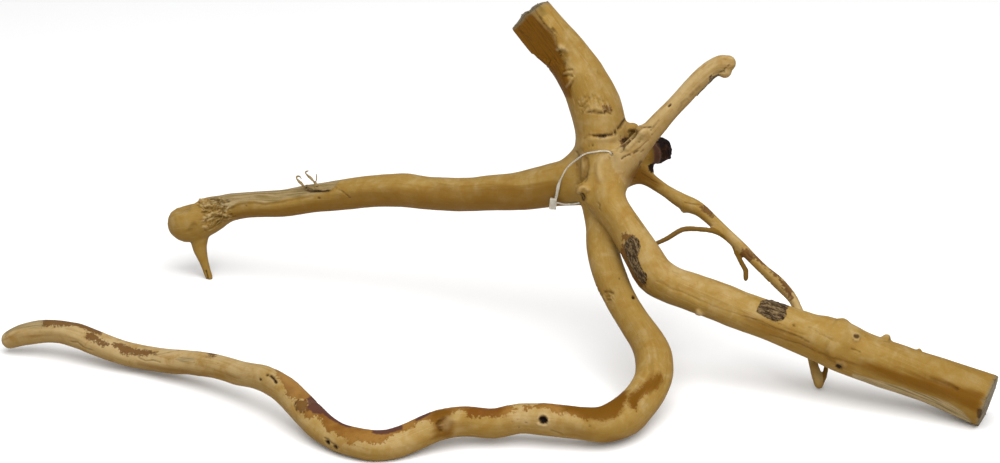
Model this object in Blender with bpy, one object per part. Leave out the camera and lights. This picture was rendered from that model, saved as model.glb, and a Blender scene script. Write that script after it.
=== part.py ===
"""A branching piece of root driftwood with a nylon loop fastened through its crown.

The wood grew as one piece, so it is one solid. Every limb is a list of stations. A station is read from the
front, looking down at VIEW_TILT: millimetres across and up in the upright picture plane that passes through the
crown, millimetres behind that plane, and the real radius there. place() turns a station into the part's own
frame, +Z up, with the origin under the middle of the piece on the surface that it stands on.
"""

import math

import bmesh
import bpy
import numpy as np
from mathutils import Matrix, Vector

MM = 0.001

# Where the stations are read from, and where that view's middle lies in the part's frame.
VIEW_TILT = math.radians(22)
VIEW_DISTANCE = 1500
ORIGIN_ACROSS = -8.6
ORIGIN_BEHIND = -13.9
FLOOR_DEPTH = 76

# The flat faces: two sawn ends, each given by a point of the axis on the saw cut and one further in, and the
# face left where a strip split off below the upper one.
RIGHT_END = ((292.8, -102.9, -74.8), (272.8, -94.9, -69))
UPPER_END = ((17.1, 129.9, -14.2), (33.1, 109.9, -11.2))
SPLIT_DEPTH = 7.8
SPLIT_LENGTH = 32
SPLIT_FACING = (-0.465, -0.372, -0.8)
CUTTER = 60

# The nylon loop: a strand that leaves the head, passes through the crown and comes back into the head as a
# barbed tail. Its middle stations lie in a hole of their own shape, wider by LOOP_CLEARANCE.
LOOP = [
    (32.0, 17.0, 6.6, 0.5), (34.6, 17.2, 7.0, 0.5), (38.4, 16.3, 7.6, 0.5), (43.2, 16.4, 6.0, 0.5),
    (48.0, 17.3, 3.0, 0.5), (51.6, 18.9, 0.0, 0.5), (55.2, 22.5, -2.5, 0.5), (60.0, 28.5, -5.0, 0.5),
    (64.0, 35.0, -9.0, 0.5), (66.8, 40.5, -13.5, 0.5), (67.6, 44.8, -17.6, 0.5), (65.6, 47.8, -18.6, 0.5),
    (61.5, 48.3, -17.5, 0.5), (56.4, 47.7, -16.6, 0.5), (51.0, 46.5, -13.6, 0.5), (45.6, 42.9, -9.0, 0.5),
    (40.2, 38.1, -4.6, 0.5), (36.6, 31.5, -1.4, 0.55), (35.0, 27.1, 0.2, 1.05), (34.3, 23.1, 2.0, 0.85),
    (33.5, 19.8, 4.2, 0.85), (32.2, 17.0, 6.0, 0.8),
]
LOOP_HIDDEN = (11, 62)
LOOP_CLEARANCE = 0.7
LOOP_SIDES = 10
LOOP_STEP = 1.5
HEAD_TOP = (32.1, 19.8, 4.3)
HEAD_BOTTOM = (31.5, 13.5, 7.5)
HEAD_WIDTH = 4.2
HEAD_DEPTH = 2.6
HEAD_EDGE = 0.5

# How finely the wood is made.
STEP = 4
LIMB_SIDES = 20
VOXEL = 0.85
FILLET_PASSES = 50
SMOOTH_PASSES = 8
WOOD_TRIANGLES = 9800
CROWN = (66, 36, -4)
CROWN_REACH = 42
CROWN_FADE = 18

WOOD_COLOUR = (0.42, 0.25, 0.09)
NYLON_COLOUR = (0.85, 0.85, 0.85)

# Stations: across, up, behind, radius.
STEM = [
    (13, 137, -15, 13.0), (29, 117, -12, 13.6), (41, 103, -9, 14.0), (50.3, 90, -6, 14.8), (56.5, 76, -3, 16.1),
    (60.3, 61, 0, 16.5), (61, 46, 2, 16.8), (60, 31, 2, 15.0), (60, 16, 0, 11.8), (61, 3, -5, 10.1),
    (62, -13, -12, 9.7), (67.3, -29, -20, 9.4), (73.3, -42, -28, 8.9), (80, -53, -36, 8.9), (88, -65, -46, 9.9),
    (92, -76, -55, 11.0), (91.5, -89, -66, 10.8), (85, -101, -77, 10.5), (75, -111, -91, 10.9),
    (62, -116, -100, 10.2), (48, -115, -101, 9.1), (30, -113, -99, 9.1), (12, -112, -97, 8.8), (-3, -115, -97, 8.7),
    (-20, -114, -98, 8.7), (-36, -116, -101, 9.0), (-50, -122, -105, 8.8), (-62, -127, -109, 8.7),
    (-75, -129, -111, 8.6), (-86, -127, -109, 8.1), (-96, -124, -104, 7.9), (-108, -117, -95, 8.0),
    (-119, -106, -84, 8.0), (-130, -95, -72, 7.9), (-142, -88, -60, 7.3), (-156, -85, -47, 7.1),
    (-170, -81, -36, 7.2), (-184, -79, -26, 7.5), (-198, -78, -17, 7.7), (-212, -76, -9, 7.4),
    (-226, -73, -4, 7.4), (-240, -68, 1, 7.4), (-252, -63, 5, 7.4), (-264, -60, 9, 7.0), (-276, -60, 13, 7.0),
    (-287, -62, 15, 6.4), (-294, -65, 17, 5.4),
]
LEFT_ARM = [
    (60, 34, 4, 12.4), (48, 30, 10, 14.1), (36, 28.5, 17, 13.9), (24, 26, 24, 13.2), (11, 24, 31, 12.4),
    (-6, 23, 40, 11.2), (-24, 22, 49, 10.6), (-42, 23, 58, 10.4), (-60, 25, 67, 10.5), (-78, 24, 77, 9.9),
    (-96, 21.6, 87, 9.3), (-114, 19.4, 96, 8.8), (-132, 16.8, 104, 8.8), (-150, 16, 111, 8.8),
    (-164, 14, 117, 9.6), (-175, 9, 120, 12.0), (-183, 6.5, 121, 13.4), (-187, 5.5, 121, 13.2),
]
KNOB_TOP = [
    (-166, 15, 117, 8.2), (-175, 14, 118, 7.6), (-179, 12, 119, 7.0),
]
FOOT = [
    (-180, 0, 122, 6.2), (-180.4, -8, 123.5, 4.6), (-179.9, -11, 124, 4.0), (-177.3, -18.3, 126, 2.7),
    (-175.6, -23.7, 128.8, 2.3), (-174.4, -27, 130.2, 2.0),
]
RIGHT_LIMB = [
    (64, 38, -7, 12.8), (63, 27, -13, 12.6), (66, 16, -17, 11.3), (72.6, 7, -22, 10.2), (80, -5, -26, 10.5),
    (87, -17, -29, 10.9), (92.2, -25.5, -31, 11.2), (102, -31.8, -33, 10.9), (113, -36, -35, 10.9),
    (130, -42, -37, 11.3), (148, -49, -40, 11.3), (169, -56, -44, 12.1), (189, -63.5, -48, 13.2),
    (206, -70, -52, 15.0), (223, -76.5, -57, 14.6), (242, -83, -62, 14.1), (262, -89.5, -67, 13.8),
    (280, -97, -71.5, 14.6), (300, -105, -76.5, 15.4),
]
UPPER_ARM = [
    (65, 24, -9, 10.0), (69, 33, -10.5, 10.8), (75, 42, -14.5, 9.4), (82, 50.3, -18.5, 7.7), (89, 58.3, -21, 6.5),
    (97, 67.2, -23, 5.8),
    (108, 79, -25, 5.1), (119, 91, -27, 5.3), (127, 98, -28, 5.1), (133, 101, -29, 5.0), (137, 101, -29, 4.6),
]
BACK_ROOT = [
    (72, 33, 2, 9.5), (80, 34, 4, 6.6), (84, 33.8, 5, 5.8), (89.4, 31.2, 6, 4.9), (100, 24, 6, 4.0),
    (108, 19, 6, 4.6), (114, 16, 5, 4.9), (119.5, 13.4, 4, 4.2), (126.2, 7.8, 3, 3.7), (132, 2.1, 1, 3.6),
    (144, -8.7, -3, 3.4), (156, -20.7, -7, 3.1), (168, -31.8, -11, 3.8), (176, -41, -14, 3.2),
    (181, -53, -21, 3.0), (185, -66, -26, 3.0), (187.5, -77, -29, 3.0), (189.5, -85, -31, 3.1),
    (191.5, -91.5, -32, 3.0),
]
BARKED_STUB = [(78, 45, 6, 8.4), (87, 47.8, 9, 8.2), (91.5, 48.8, 11, 8.2), (94.8, 48.8, 12.5, 8.0)]
THORN = [(88, 43.5, 9, 4.4), (90.4, 39.8, 8, 2.6), (91.2, 36.8, 8, 1.5)]
ARMPIT = [(56, 47, 6, 12.0), (46, 40, 10, 9.0), (36, 35, 15, 6.5)]
SHOULDER = [(66, 52, 0, 9.0), (72.5, 58.8, 0, 7.0), (77.5, 61, 1, 5.0)]
HEEL = [(60, 27, -12, 8.0), (54, 26, -16, 5.6), (49, 26, -18, 4.2)]
HEEL_LOBE = [(62, 22, -14, 8.0), (55, 19, -16, 5.6)]
ARM_TIP = [(134, 100, -28, 4.4), (135, 96, -28, 4.0)]
SPUR = [(112, 17, 5, 3.6), (110.5, 13.2, 5, 2.4)]
KNOT_BULGE = [(205, -67, -56, 13.0), (210, -67, -60, 9.0)]
TOP_NUB = [(230, -72, -58, 7.0), (232, -64.5, -57, 2.4)]
UNDER_NUB = [(119, -40, -38, 7.0), (119, -48, -41, 2.6)]

# Twigs and splinters.
SIDE_TWIG = [
    (137, -3.8, -1, 2.4), (131, -0.5, -1, 1.9), (123, 1.0, -2, 1.6), (114, 1.6, -3, 1.5), (108, 0.6, -3, 1.5),
    (101, -3.8, -4, 1.5), (95, -6.6, -5, 1.5), (88, -9.6, -6, 1.5),
]
DOWN_TWIG = [
    (141, -7.5, -2, 2.2), (142, -13, -3, 1.6), (144.5, -18, -3, 1.6), (147.4, -23, -3, 1.6), (147.4, -28.5, -3, 1.6),
]
FORK_TWIG = [
    (192.5, -91, -32, 1.9), (194.8, -87, -31, 1.6), (195.6, -82, -29, 1.5), (195.4, -77, -27, 1.5),
    (194, -71, -26, 1.4),
]
LONG_SPLINTER = [
    (-98, 25, 85, 2.2), (-106, 26, 87, 1.7), (-112, 26.5, 88, 1.4), (-117, 28, 89, 1.2), (-121, 31, 90, 1.1),
    (-122, 33, 90, 1.0),
]
SHORT_SPLINTER = [
    (-104, 25.5, 87, 1.7), (-111, 28, 87, 1.2), (-114, 31, 87, 1.1), (-117, 34.5, 87, 1.0),
]

LIMBS = {
    "stem": STEM, "left_arm": LEFT_ARM, "foot": FOOT, "right_limb": RIGHT_LIMB, "upper_arm": UPPER_ARM,
    "back_root": BACK_ROOT, "barked_stub": BARKED_STUB, "thorn": THORN, "shoulder": SHOULDER,
    "armpit": ARMPIT,
    "heel": HEEL, "heel_lobe": HEEL_LOBE, "arm_tip": ARM_TIP, "spur": SPUR, "knot_bulge": KNOT_BULGE,
    "top_nub": TOP_NUB, "under_nub": UNDER_NUB, "knob_top": KNOB_TOP, "side_twig": SIDE_TWIG,
    "down_twig": DOWN_TWIG, "fork_twig": FORK_TWIG, "long_splinter": LONG_SPLINTER,
    "short_splinter": SHORT_SPLINTER,
}


def place(across, up, behind):
    """The part-frame position, in metres, of a station read from the front in millimetres."""
    spread = 1 + behind / VIEW_DISTANCE
    right, high = across * spread, up * spread
    x = right - ORIGIN_ACROSS
    y = high * math.sin(VIEW_TILT) + behind * math.cos(VIEW_TILT) - ORIGIN_BEHIND
    z = high * math.cos(VIEW_TILT) - behind * math.sin(VIEW_TILT) + FLOOR_DEPTH
    return Vector((x, y, z)) * MM


def toward(across, up, behind):
    """A direction read from the front, turned into the part's frame."""
    y = up * math.sin(VIEW_TILT) + behind * math.cos(VIEW_TILT)
    z = up * math.cos(VIEW_TILT) - behind * math.sin(VIEW_TILT)
    return Vector((across, y, z)).normalized()


def sampled(stations, step):
    """Centres and radii every step millimetres or so along a smooth curve through the stations, in metres."""
    points = [np.array((*place(*s[:3]), s[3] * MM)) for s in stations]
    knots = [2 * points[0] - points[1], *points, 2 * points[-1] - points[-2]]
    found = []
    for a, b, c, d in zip(knots, knots[1:], knots[2:], knots[3:]):
        count = max(1, round(np.linalg.norm(c[:3] - b[:3]) / (step * MM)))
        for t in np.arange(count) / count:
            bend = (2 * a - 5 * b + 4 * c - d) * t**2 + (3 * b - a - 3 * c + d) * t**3
            found.append(0.5 * (2 * b + (c - a) * t + bend))
    found.append(points[-1])
    found = np.array(found)
    return found[:, :3], found[:, 3]


def frames(centres):
    """Directions along the curve, and two sideways ones that don't twist as they follow it."""
    tangents = np.gradient(centres, axis=0)
    tangents /= np.linalg.norm(tangents, axis=1)[:, None]
    side = np.cross(tangents[0], toward(0, 0, -1))
    sides = []
    for tangent in tangents:
        side = side - tangent * (side @ tangent)
        side /= np.linalg.norm(side)
        sides.append(side)
    sides = np.array(sides)
    return tangents, sides, np.cross(tangents, sides)


def distances_along(centres):
    steps = np.linalg.norm(np.diff(centres, axis=0), axis=1)
    return np.concatenate([[0], np.cumsum(steps)])


def swelling(along, angles, seed):
    """How far the wood's outline departs from a true circle, as a factor of its radius."""
    wave = along / (60 * MM)
    return (1 + 0.04 * np.cos(2 * angles + seed + 1.7 * wave) + 0.024 * np.cos(3 * angles - 2.1 * wave + 2 * seed)
            + 0.012 * np.cos(5 * angles + 3.3 * wave + 3 * seed) + 0.012 * np.sin(4.1 * wave + seed))


def sweep(mesh, centres, radii, sides, shape=None):
    """Adds a tube with domed ends to a bmesh. shape(along, angles) scales its radius."""
    tangents, across, over = frames(centres)
    along = distances_along(centres)
    angles = np.arange(sides) / sides * 2 * math.pi
    rings = []
    for i, centre in enumerate(centres):
        spread = radii[i] * (shape(along[i], angles) if shape else np.ones(sides))
        ring = centre + np.outer(np.cos(angles) * spread, across[i]) + np.outer(np.sin(angles) * spread, over[i])
        rings.append([mesh.verts.new(point) for point in ring])
    for a, b in zip(rings, rings[1:]):
        bridge(mesh, a, b)
    dome(mesh, rings[0], centres[0], -tangents[0] * radii[0])
    dome(mesh, rings[-1], centres[-1], tangents[-1] * radii[-1])


def bridge(mesh, a, b):
    for i in range(len(a)):
        j = (i + 1) % len(a)
        mesh.faces.new((a[i], a[j], b[j], b[i]))


def dome(mesh, ring, centre, way):
    """Closes one end of a tube with a round cap that rises by way."""
    last = ring
    for share in (0.4, 0.7, 0.9, 0.98):
        shrink = math.sqrt(1 - share**2)
        now = [mesh.verts.new(centre + (np.array(v.co) - centre) * shrink + way * share) for v in ring]
        bridge(mesh, last, now)
        last = now
    mesh.faces.new(last)


def add_object(name, mesh):
    """A new object from a bmesh whose faces are turned to point outwards."""
    made = bpy.data.meshes.new(name)
    bmesh.ops.recalc_face_normals(mesh, faces=mesh.faces)
    mesh.to_mesh(made)
    mesh.free()
    obj = bpy.data.objects.new(name, made)
    bpy.context.scene.collection.objects.link(obj)
    return obj


def applied(obj):
    """Puts the result of the object's modifiers into its mesh."""
    graph = bpy.context.evaluated_depsgraph_get()
    made = bpy.data.meshes.new_from_object(obj.evaluated_get(graph))
    obj.modifiers.clear()
    obj.data = made


def combine(obj, other, operation):
    """Cuts the other object out of this one or adds it, and removes the other."""
    change = obj.modifiers.new(other.name, "BOOLEAN")
    change.object = other
    change.operation = operation
    change.solver = "EXACT"
    applied(obj)
    bpy.data.objects.remove(other)


def relax(mesh, passes, weights):
    """Moves each vertex towards the mean of its neighbours, by its weight."""
    count = len(mesh.vertices)
    points = np.empty(count * 3)
    mesh.vertices.foreach_get("co", points)
    points = points.reshape(-1, 3)
    ends = np.empty(len(mesh.edges) * 2, np.int64)
    mesh.edges.foreach_get("vertices", ends)
    ends = ends.reshape(-1, 2)
    degree = np.bincount(ends.ravel(), minlength=count)[:, None]
    for _ in range(passes):
        total = np.zeros_like(points)
        for a, b in ((0, 1), (1, 0)):
            for axis in range(3):
                total[:, axis] += np.bincount(ends[:, a], points[ends[:, b], axis], minlength=count)
        points += weights * (total / degree - points)
    mesh.vertices.foreach_set("co", points.astype(np.float32).ravel())
    mesh.update()


def near_crown(mesh):
    """1 at the crown and 0 away from it, so that only the crotches there are filled with fillets."""
    points = np.array([v.co for v in mesh.vertices])
    distance = np.linalg.norm(points - np.array(place(*CROWN)), axis=1) / MM
    return np.clip((CROWN_REACH - distance) / CROWN_FADE, 0, 1)[:, None]


def make_limbs():
    """All the limbs run together into one closed skin."""
    mesh = bmesh.new()
    for number, stations in enumerate(LIMBS.values()):
        centres, radii = sampled(stations, STEP)
        sweep(mesh, centres, radii, LIMB_SIDES, lambda along, angles: swelling(along, angles, number))
    body = add_object("driftwood", mesh)
    one_skin = body.modifiers.new("one_skin", "REMESH")
    one_skin.mode = "VOXEL"
    one_skin.voxel_size = VOXEL * MM
    applied(body)
    relax(body.data, FILLET_PASSES, 0.5 * near_crown(body.data))
    relax(body.data, SMOOTH_PASSES, 0.3)
    body.data.calc_loop_triangles()
    fewer = body.modifiers.new("fewer_faces", "DECIMATE")
    fewer.ratio = WOOD_TRIANGLES / len(body.data.loop_triangles)
    applied(body)
    return body


def block(name, middle, ways, sizes):
    """A box with its middle at a point and its sides along three square directions."""
    mesh = bmesh.new()
    bmesh.ops.create_cube(mesh, size=1)
    turn = Matrix([way * size for way, size in zip(ways, sizes)]).transposed().to_4x4()
    bmesh.ops.transform(mesh, matrix=Matrix.Translation(middle) @ turn, verts=mesh.verts)
    return add_object(name, mesh)


def square_ways(first, second):
    """Three square directions: the first, the second made square to it, and the one square to both."""
    second = (second - first * first.dot(second)).normalized()
    return first, second, first.cross(second)


def saw_off(body, on_axis, further_in):
    """Cuts a limb off square to its axis."""
    point = place(*on_axis)
    outward = (point - place(*further_in)).normalized()
    ways = square_ways(outward, toward(0, 0, -1))
    size = CUTTER * MM
    combine(body, block("saw_cut", point + outward * size / 2, ways, (size, size, size)), "DIFFERENCE")


def split_off_strip(body):
    """Cuts the flat face below the upper sawn end."""
    top = place(*UPPER_END[0])
    outward = (top - place(*UPPER_END[1])).normalized()
    ways = square_ways(outward, toward(*SPLIT_FACING))
    size = CUTTER * MM
    middle = top + outward * (size / 2 - SPLIT_LENGTH * MM) + ways[1] * (SPLIT_DEPTH * MM + size / 2)
    combine(body, block("split", middle, ways, (size, size, size)), "DIFFERENCE")


def stand_flat(body):
    """Takes the three low points down to small flat spots on the surface that the piece stands on."""
    ways = (Vector((1, 0, 0)), Vector((0, 1, 0)), Vector((0, 0, 1)))
    size = CUTTER * MM
    combine(body, block("surface", Vector((0, 0, -size / 2)), ways, (1, 1, size)), "DIFFERENCE")


def loop_hole():
    """The hole through the crown that the loop's strand runs in."""
    centres, radii = sampled(LOOP, LOOP_STEP)
    along = distances_along(centres) / MM
    chosen = (along > LOOP_HIDDEN[0]) & (along < LOOP_HIDDEN[1])
    mesh = bmesh.new()
    sweep(mesh, centres[chosen], radii[chosen] + LOOP_CLEARANCE * MM, LOOP_SIDES)
    return add_object("loop_hole", mesh)


def make_loop():
    """The strand with its barbed tail, and the head that locks it."""
    mesh = bmesh.new()
    centres, radii = sampled(LOOP, LOOP_STEP)
    sweep(mesh, centres, radii, LOOP_SIDES)
    loop = add_object("tag_loop", mesh)
    top, bottom = place(*HEAD_TOP), place(*HEAD_BOTTOM)
    ways = square_ways((bottom - top).normalized(), toward(0, 0, -1))
    sizes = ((bottom - top).length, HEAD_DEPTH * MM, HEAD_WIDTH * MM)
    head = block("head", (top + bottom) / 2, ways, sizes)
    rounded = head.modifiers.new("rounded", "BEVEL")
    rounded.width = HEAD_EDGE * MM
    rounded.segments = 2
    applied(head)
    combine(loop, head, "UNION")
    return loop


def finish(obj, colour, roughness):
    """Gives an object its own material and smooth shading."""
    material = bpy.data.materials.new(obj.name)
    material.use_nodes = True
    surface = material.node_tree.nodes["Principled BSDF"]
    surface.inputs["Base Color"].default_value = (*colour, 1)
    surface.inputs["Roughness"].default_value = roughness
    surface.inputs["Metallic"].default_value = 0
    obj.data.materials.clear()
    obj.data.materials.append(material)
    obj.data.shade_smooth()


def main():
    for obj in list(bpy.data.objects):
        bpy.data.objects.remove(obj)
    body = make_limbs()
    saw_off(body, *RIGHT_END)
    saw_off(body, *UPPER_END)
    split_off_strip(body)
    combine(body, loop_hole(), "DIFFERENCE")
    stand_flat(body)
    finish(body, WOOD_COLOUR, 0.6)
    finish(make_loop(), NYLON_COLOUR, 0.4)


if __name__ == "__main__":
    main()
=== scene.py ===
"""The display model of a piece of root driftwood and of the nylon loop that is fastened through its crown.

The wood's skin is made from the same stations as the CAD part, with more faces. Every mark on it is read off
the photograph in pixels, turned into a place on the limb that carries it, and then worked into the surface
there as relief and as masks for the wood's material. Marks on the sides that the photograph doesn't show are
seeded.
"""

import math
import random

import bmesh
import bpy
import numpy as np
from mathutils import Matrix, Vector, kdtree, noise


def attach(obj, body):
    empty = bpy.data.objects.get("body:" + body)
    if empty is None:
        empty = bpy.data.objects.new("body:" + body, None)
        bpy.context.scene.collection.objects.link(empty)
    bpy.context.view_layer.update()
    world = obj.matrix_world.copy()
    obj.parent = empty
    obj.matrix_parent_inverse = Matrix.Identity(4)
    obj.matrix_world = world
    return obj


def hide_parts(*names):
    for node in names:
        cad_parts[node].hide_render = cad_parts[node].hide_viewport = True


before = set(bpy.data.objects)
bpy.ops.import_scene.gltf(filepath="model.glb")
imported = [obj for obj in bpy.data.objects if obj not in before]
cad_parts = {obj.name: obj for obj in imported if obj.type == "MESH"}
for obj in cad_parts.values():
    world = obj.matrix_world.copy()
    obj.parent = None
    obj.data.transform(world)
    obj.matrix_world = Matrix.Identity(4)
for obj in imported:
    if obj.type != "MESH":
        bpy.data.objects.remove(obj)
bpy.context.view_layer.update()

MM = 0.001

# Where the stations are read from, and where that view's middle lies in the part's frame.
VIEW_TILT = math.radians(22)
VIEW_DISTANCE = 1500
ORIGIN_ACROSS = -8.6
ORIGIN_BEHIND = -13.9
FLOOR_DEPTH = 76

# The flat faces: two sawn ends, each given by a point of the axis on the saw cut and one further in, and the
# face left where a strip split off below the upper one.
RIGHT_END = ((292.8, -102.9, -74.8), (272.8, -94.9, -69))
UPPER_END = ((17.1, 129.9, -14.2), (33.1, 109.9, -11.2))
SPLIT_DEPTH = 7.8
SPLIT_LENGTH = 32
SPLIT_FACING = (-0.465, -0.372, -0.8)
CUTTER = 60

# The nylon loop: a strand that leaves the head, passes through the crown and comes back into the head as a
# barbed tail. Its middle stations lie in a hole of their own shape, wider by LOOP_CLEARANCE.
LOOP = [
    (32.0, 17.0, 6.6, 0.5), (34.6, 17.2, 7.0, 0.5), (38.4, 16.3, 7.6, 0.5), (43.2, 16.4, 6.0, 0.5),
    (48.0, 17.3, 3.0, 0.5), (51.6, 18.9, 0.0, 0.5), (55.2, 22.5, -2.5, 0.5), (60.0, 28.5, -5.0, 0.5),
    (64.0, 35.0, -9.0, 0.5), (66.8, 40.5, -13.5, 0.5), (67.6, 44.8, -17.6, 0.5), (65.6, 47.8, -18.6, 0.5),
    (61.5, 48.3, -17.5, 0.5), (56.4, 47.7, -16.6, 0.5), (51.0, 46.5, -13.6, 0.5), (45.6, 42.9, -9.0, 0.5),
    (40.2, 38.1, -4.6, 0.5), (36.6, 31.5, -1.4, 0.55), (35.0, 27.1, 0.2, 1.05), (34.3, 23.1, 2.0, 0.85),
    (33.5, 19.8, 4.2, 0.85), (32.2, 17.0, 6.0, 0.8),
]
LOOP_HIDDEN = (11, 62)
LOOP_CLEARANCE = 0.7
LOOP_SIDES = 10
LOOP_STEP = 1.5
HEAD_TOP = (32.1, 19.8, 4.3)
HEAD_BOTTOM = (31.5, 13.5, 7.5)
HEAD_WIDTH = 4.2
HEAD_DEPTH = 2.6
HEAD_EDGE = 0.5

# How finely the wood is made.
STEP = 4
LIMB_SIDES = 20
VOXEL = 0.85
FILLET_PASSES = 50
FILLET_SHARE = 0.5
SMOOTH_PASSES = 8
SMOOTH_SHARE = 0.3
DOME_STEPS = (0.4, 0.7, 0.9, 0.98)
SWELL_LENGTH = 60
CROWN = (66, 36, -4)
CROWN_REACH = 42
CROWN_FADE = 18

# How finely the display pieces are made. Lengths of mesh edges are in millimetres.
FINE_TRIANGLES = 59000
SPLINTER_STEP = 0.8
EDGE_AT_MARKS = 0.55
EDGE_AT_PATCHES = 1.5
EDGE_ON_CUTS = 1.3
EDGE_PER_WIDTH = 0.35
EDGE_EXCESS = 1.3
REFINE_PASSES = 2
CUT_REFINE_PASSES = 6
BESIDE_MARK = 0.9
ROUND_MARK = 1.6
ROUND_BORDER = 1.3
ROUND_FRAYED = 0.5
BOX_MARGIN = 2
COARSE = 3

# When a face counts as part of a flat cut: how near to the cut's direction and, in metres, to its plane. The
# second pair is for the sawn faces after smoothing. The sawn faces come first among the planes.
CUT_FACING = 0.999
CUT_WITHIN = 2e-5
SAWN_FACING = 0.97
SAWN_WITHIN = 4e-4
SAWN_FACES = 2

# The photograph: the size of a pixel in millimetres, and the middle pixel of the view.
PIXEL = 0.6
IMAGE_MIDDLE = (500, 231.5)

# Limbs that carry marks and grain. The others are bumps on one of these.
MAPPED = ("stem", "left_arm", "foot", "right_limb", "upper_arm", "back_root", "barked_stub", "thorn",
          "side_twig", "down_twig", "fork_twig")
MAP_STEP = 0.5
CROWN_MAP_REACH = 62
CROWN_FACING = 0.05

# Lines worked into the surface: half their width and height in millimetres (below zero is a groove), how
# much darker they are (below zero is paler), and the photograph's pixels that they run through. LINE_SETS
# says what they lie on: on the crown, straight from the front. A single pixel is a pit or a spot. The
# darkness is the real dark of cracks, pits and stains together with painted shade in grooves, hollows and
# holes; the paleness is paler wood together with painted highlights along ridges, rims and nubs.
CROWN_LINES = {
    "trunk_crack": (0.9, -1.2, 0.85, [(624.8, 120.3), (621, 126), (617.6, 129.4), (615.2, 134.2)]),
    "cross_crack": (0.8, -1.2, 0.9, [(615, 134.2), (608, 135.5), (602, 135.7), (593.3, 136)]),
    "cross_crack_core": (1.2, -0.6, 0.95, [(605.6, 135.8), (600, 136.2)]),
    "cross_crack_end": (0.6, -0.3, 0.25, [(593.3, 136), (588.5, 134.8), (584, 139)]),
    "ledge_below": (1.9, 0.5, -0.12, [(613, 138.2), (606, 138.8), (598, 139), (591, 139.6)]),
    "hollow_top": (1.6, -1.2, 0.75, [(630.4, 131.8), (634, 133), (631.6, 136)]),
    "dome_side": (3.6, 2.0, 0.0, [(636.5, 126), (642.5, 133)]),
    "hollow_side": (1.1, 0.3, 0.6, [(629.7, 130.2), (634, 131), (638, 131.4)]),
    "first_hole": (1.2, -1.0, 0.8, [(623.6, 140.8), (626, 139.6), (627.4, 141.4)]),
    "second_hole": (0.8, -0.7, 0.7, [(622.8, 145.6), (622, 147.4)]),
    "pit_a": (0.8, -0.5, 0.7, [(592.7, 145.5)]),
    "pit_b": (0.6, -0.4, 0.6, [(589, 145.8)]),
    "arm_crease": (0.7, -0.6, 0.6, [(576.4, 151.8), (577.2, 155), (577, 158)]),
    "arm_crease_low": (0.6, -0.4, 0.5, [(576, 165), (576.4, 166.4)]),
    "left_border": (2.0, -1.0, 0.2, [(580.6, 151), (578.6, 158.5), (578.8, 167), (578.8, 178), (579, 184)]),
    "inner_groove": (1.4, -0.8, 0.28, [(586.2, 159), (587.3, 167), (586, 174), (584.6, 180)]),
    "groove_shadow": (0.8, -0.4, 0.65, [(586.2, 173.4), (585.4, 177)]),
    "fold_between": (2.4, 0.7, -0.05, [(583, 156), (583.2, 166), (582.2, 176)]),
    # The paleness of fold_ridge is a painted highlight along the fold's crest, and the darkness of
    # fold_hollow painted shade in the hollow beside it.
    "fold_ridge": (2.3, 1.2, -0.3, [(612, 152.6), (607, 155.4), (602, 159.4), (599.4, 165), (599.2, 172),
        (600.6, 179)]),
    "fold_hollow": (5.0, -0.8, 0.12, [(609, 162), (610, 168), (609, 174)]),
    "dash_a": (0.6, -0.5, 0.85, [(621.6, 158.8), (623.6, 157), (625.6, 156.2)]),
    "dash_b": (0.6, -0.5, 0.8, [(627.4, 155.4), (629.6, 154.4)]),
    "dash_c": (0.45, -0.3, 0.45, [(632, 152.6), (636, 150.4), (640.4, 147.6), (644.6, 143.6),
        (648.5, 140.3)]),
    "dash_d": (0.7, -0.5, 0.8, [(634, 153.4), (637.6, 151)]),
    "dash_e": (0.6, -0.4, 0.75, [(641.6, 152.6), (643.4, 150.4)]),
    # The darkness of arm_edge_groove is painted shade in the hollow behind the arm's edge, and the paleness
    # of arm_edge a painted highlight on that edge.
    "arm_edge_groove": (1.3, -1.5, 0.3, [(642, 129), (636, 134.6), (630, 140), (624.6, 145.6),
        (620.4, 150.6)]),
    "arm_edge": (1.8, 1.2, -0.18, [(645, 131), (639, 136.6), (633, 142.4), (627, 148)]),
    "spot_a": (0.6, -0.4, 0.7, [(630, 155.5)]),
    "spot_b": (0.8, -0.5, 0.8, [(644.2, 127.8), (645.6, 127.4)]),
    "spot_c": (0.8, -0.5, 0.8, [(648.2, 127.3), (650.4, 127.3)]),
    "spot_d": (0.7, -0.4, 0.8, [(651, 130)]),
    "spot_e": (0.7, -0.4, 0.8, [(639.4, 142)]),
    "spot_f": (0.6, -0.3, 0.5, [(652, 134.8)]),
    "arm_line": (0.7, -0.3, 0.35, [(652.6, 128.3), (655.6, 124.4), (658.4, 121)]),
    "nub_rim": (1.4, 1.2, -0.25, [(578.8, 192), (580.4, 187.6), (584.4, 187), (588, 190)]),
    "nub_hole": (1.3, -1.3, 1.0, [(582.2, 195), (582.9, 199.4)]),
    "nub_facet_edge": (0.6, -0.3, 0.2, [(586, 194), (586.4, 204), (590, 206.4)]),
    "nub_squiggle": (0.5, -0.4, 0.5, [(598, 203), (600.4, 205.4), (599, 208), (600.6, 210.6)]),
    "crotch_dark": (1.0, -0.8, 0.6, [(640.6, 162), (640, 167)]),
    "crotch_spot": (0.8, -0.5, 0.6, [(635, 178)]),
    "limb_scar_dark": (0.7, -0.4, 0.4, [(635.8, 216.6), (640, 221), (644.2, 227)]),
    "stub_inner_ring": (1.0, 0.5, -0.05, [(656.4, 145), (659.4, 148.8), (661, 158.5), (657.6, 163)]),
    "stub_core": (1.9, -1.6, 0.6, [(664, 149.5), (664.8, 155), (663.2, 160)]),
}
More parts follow.
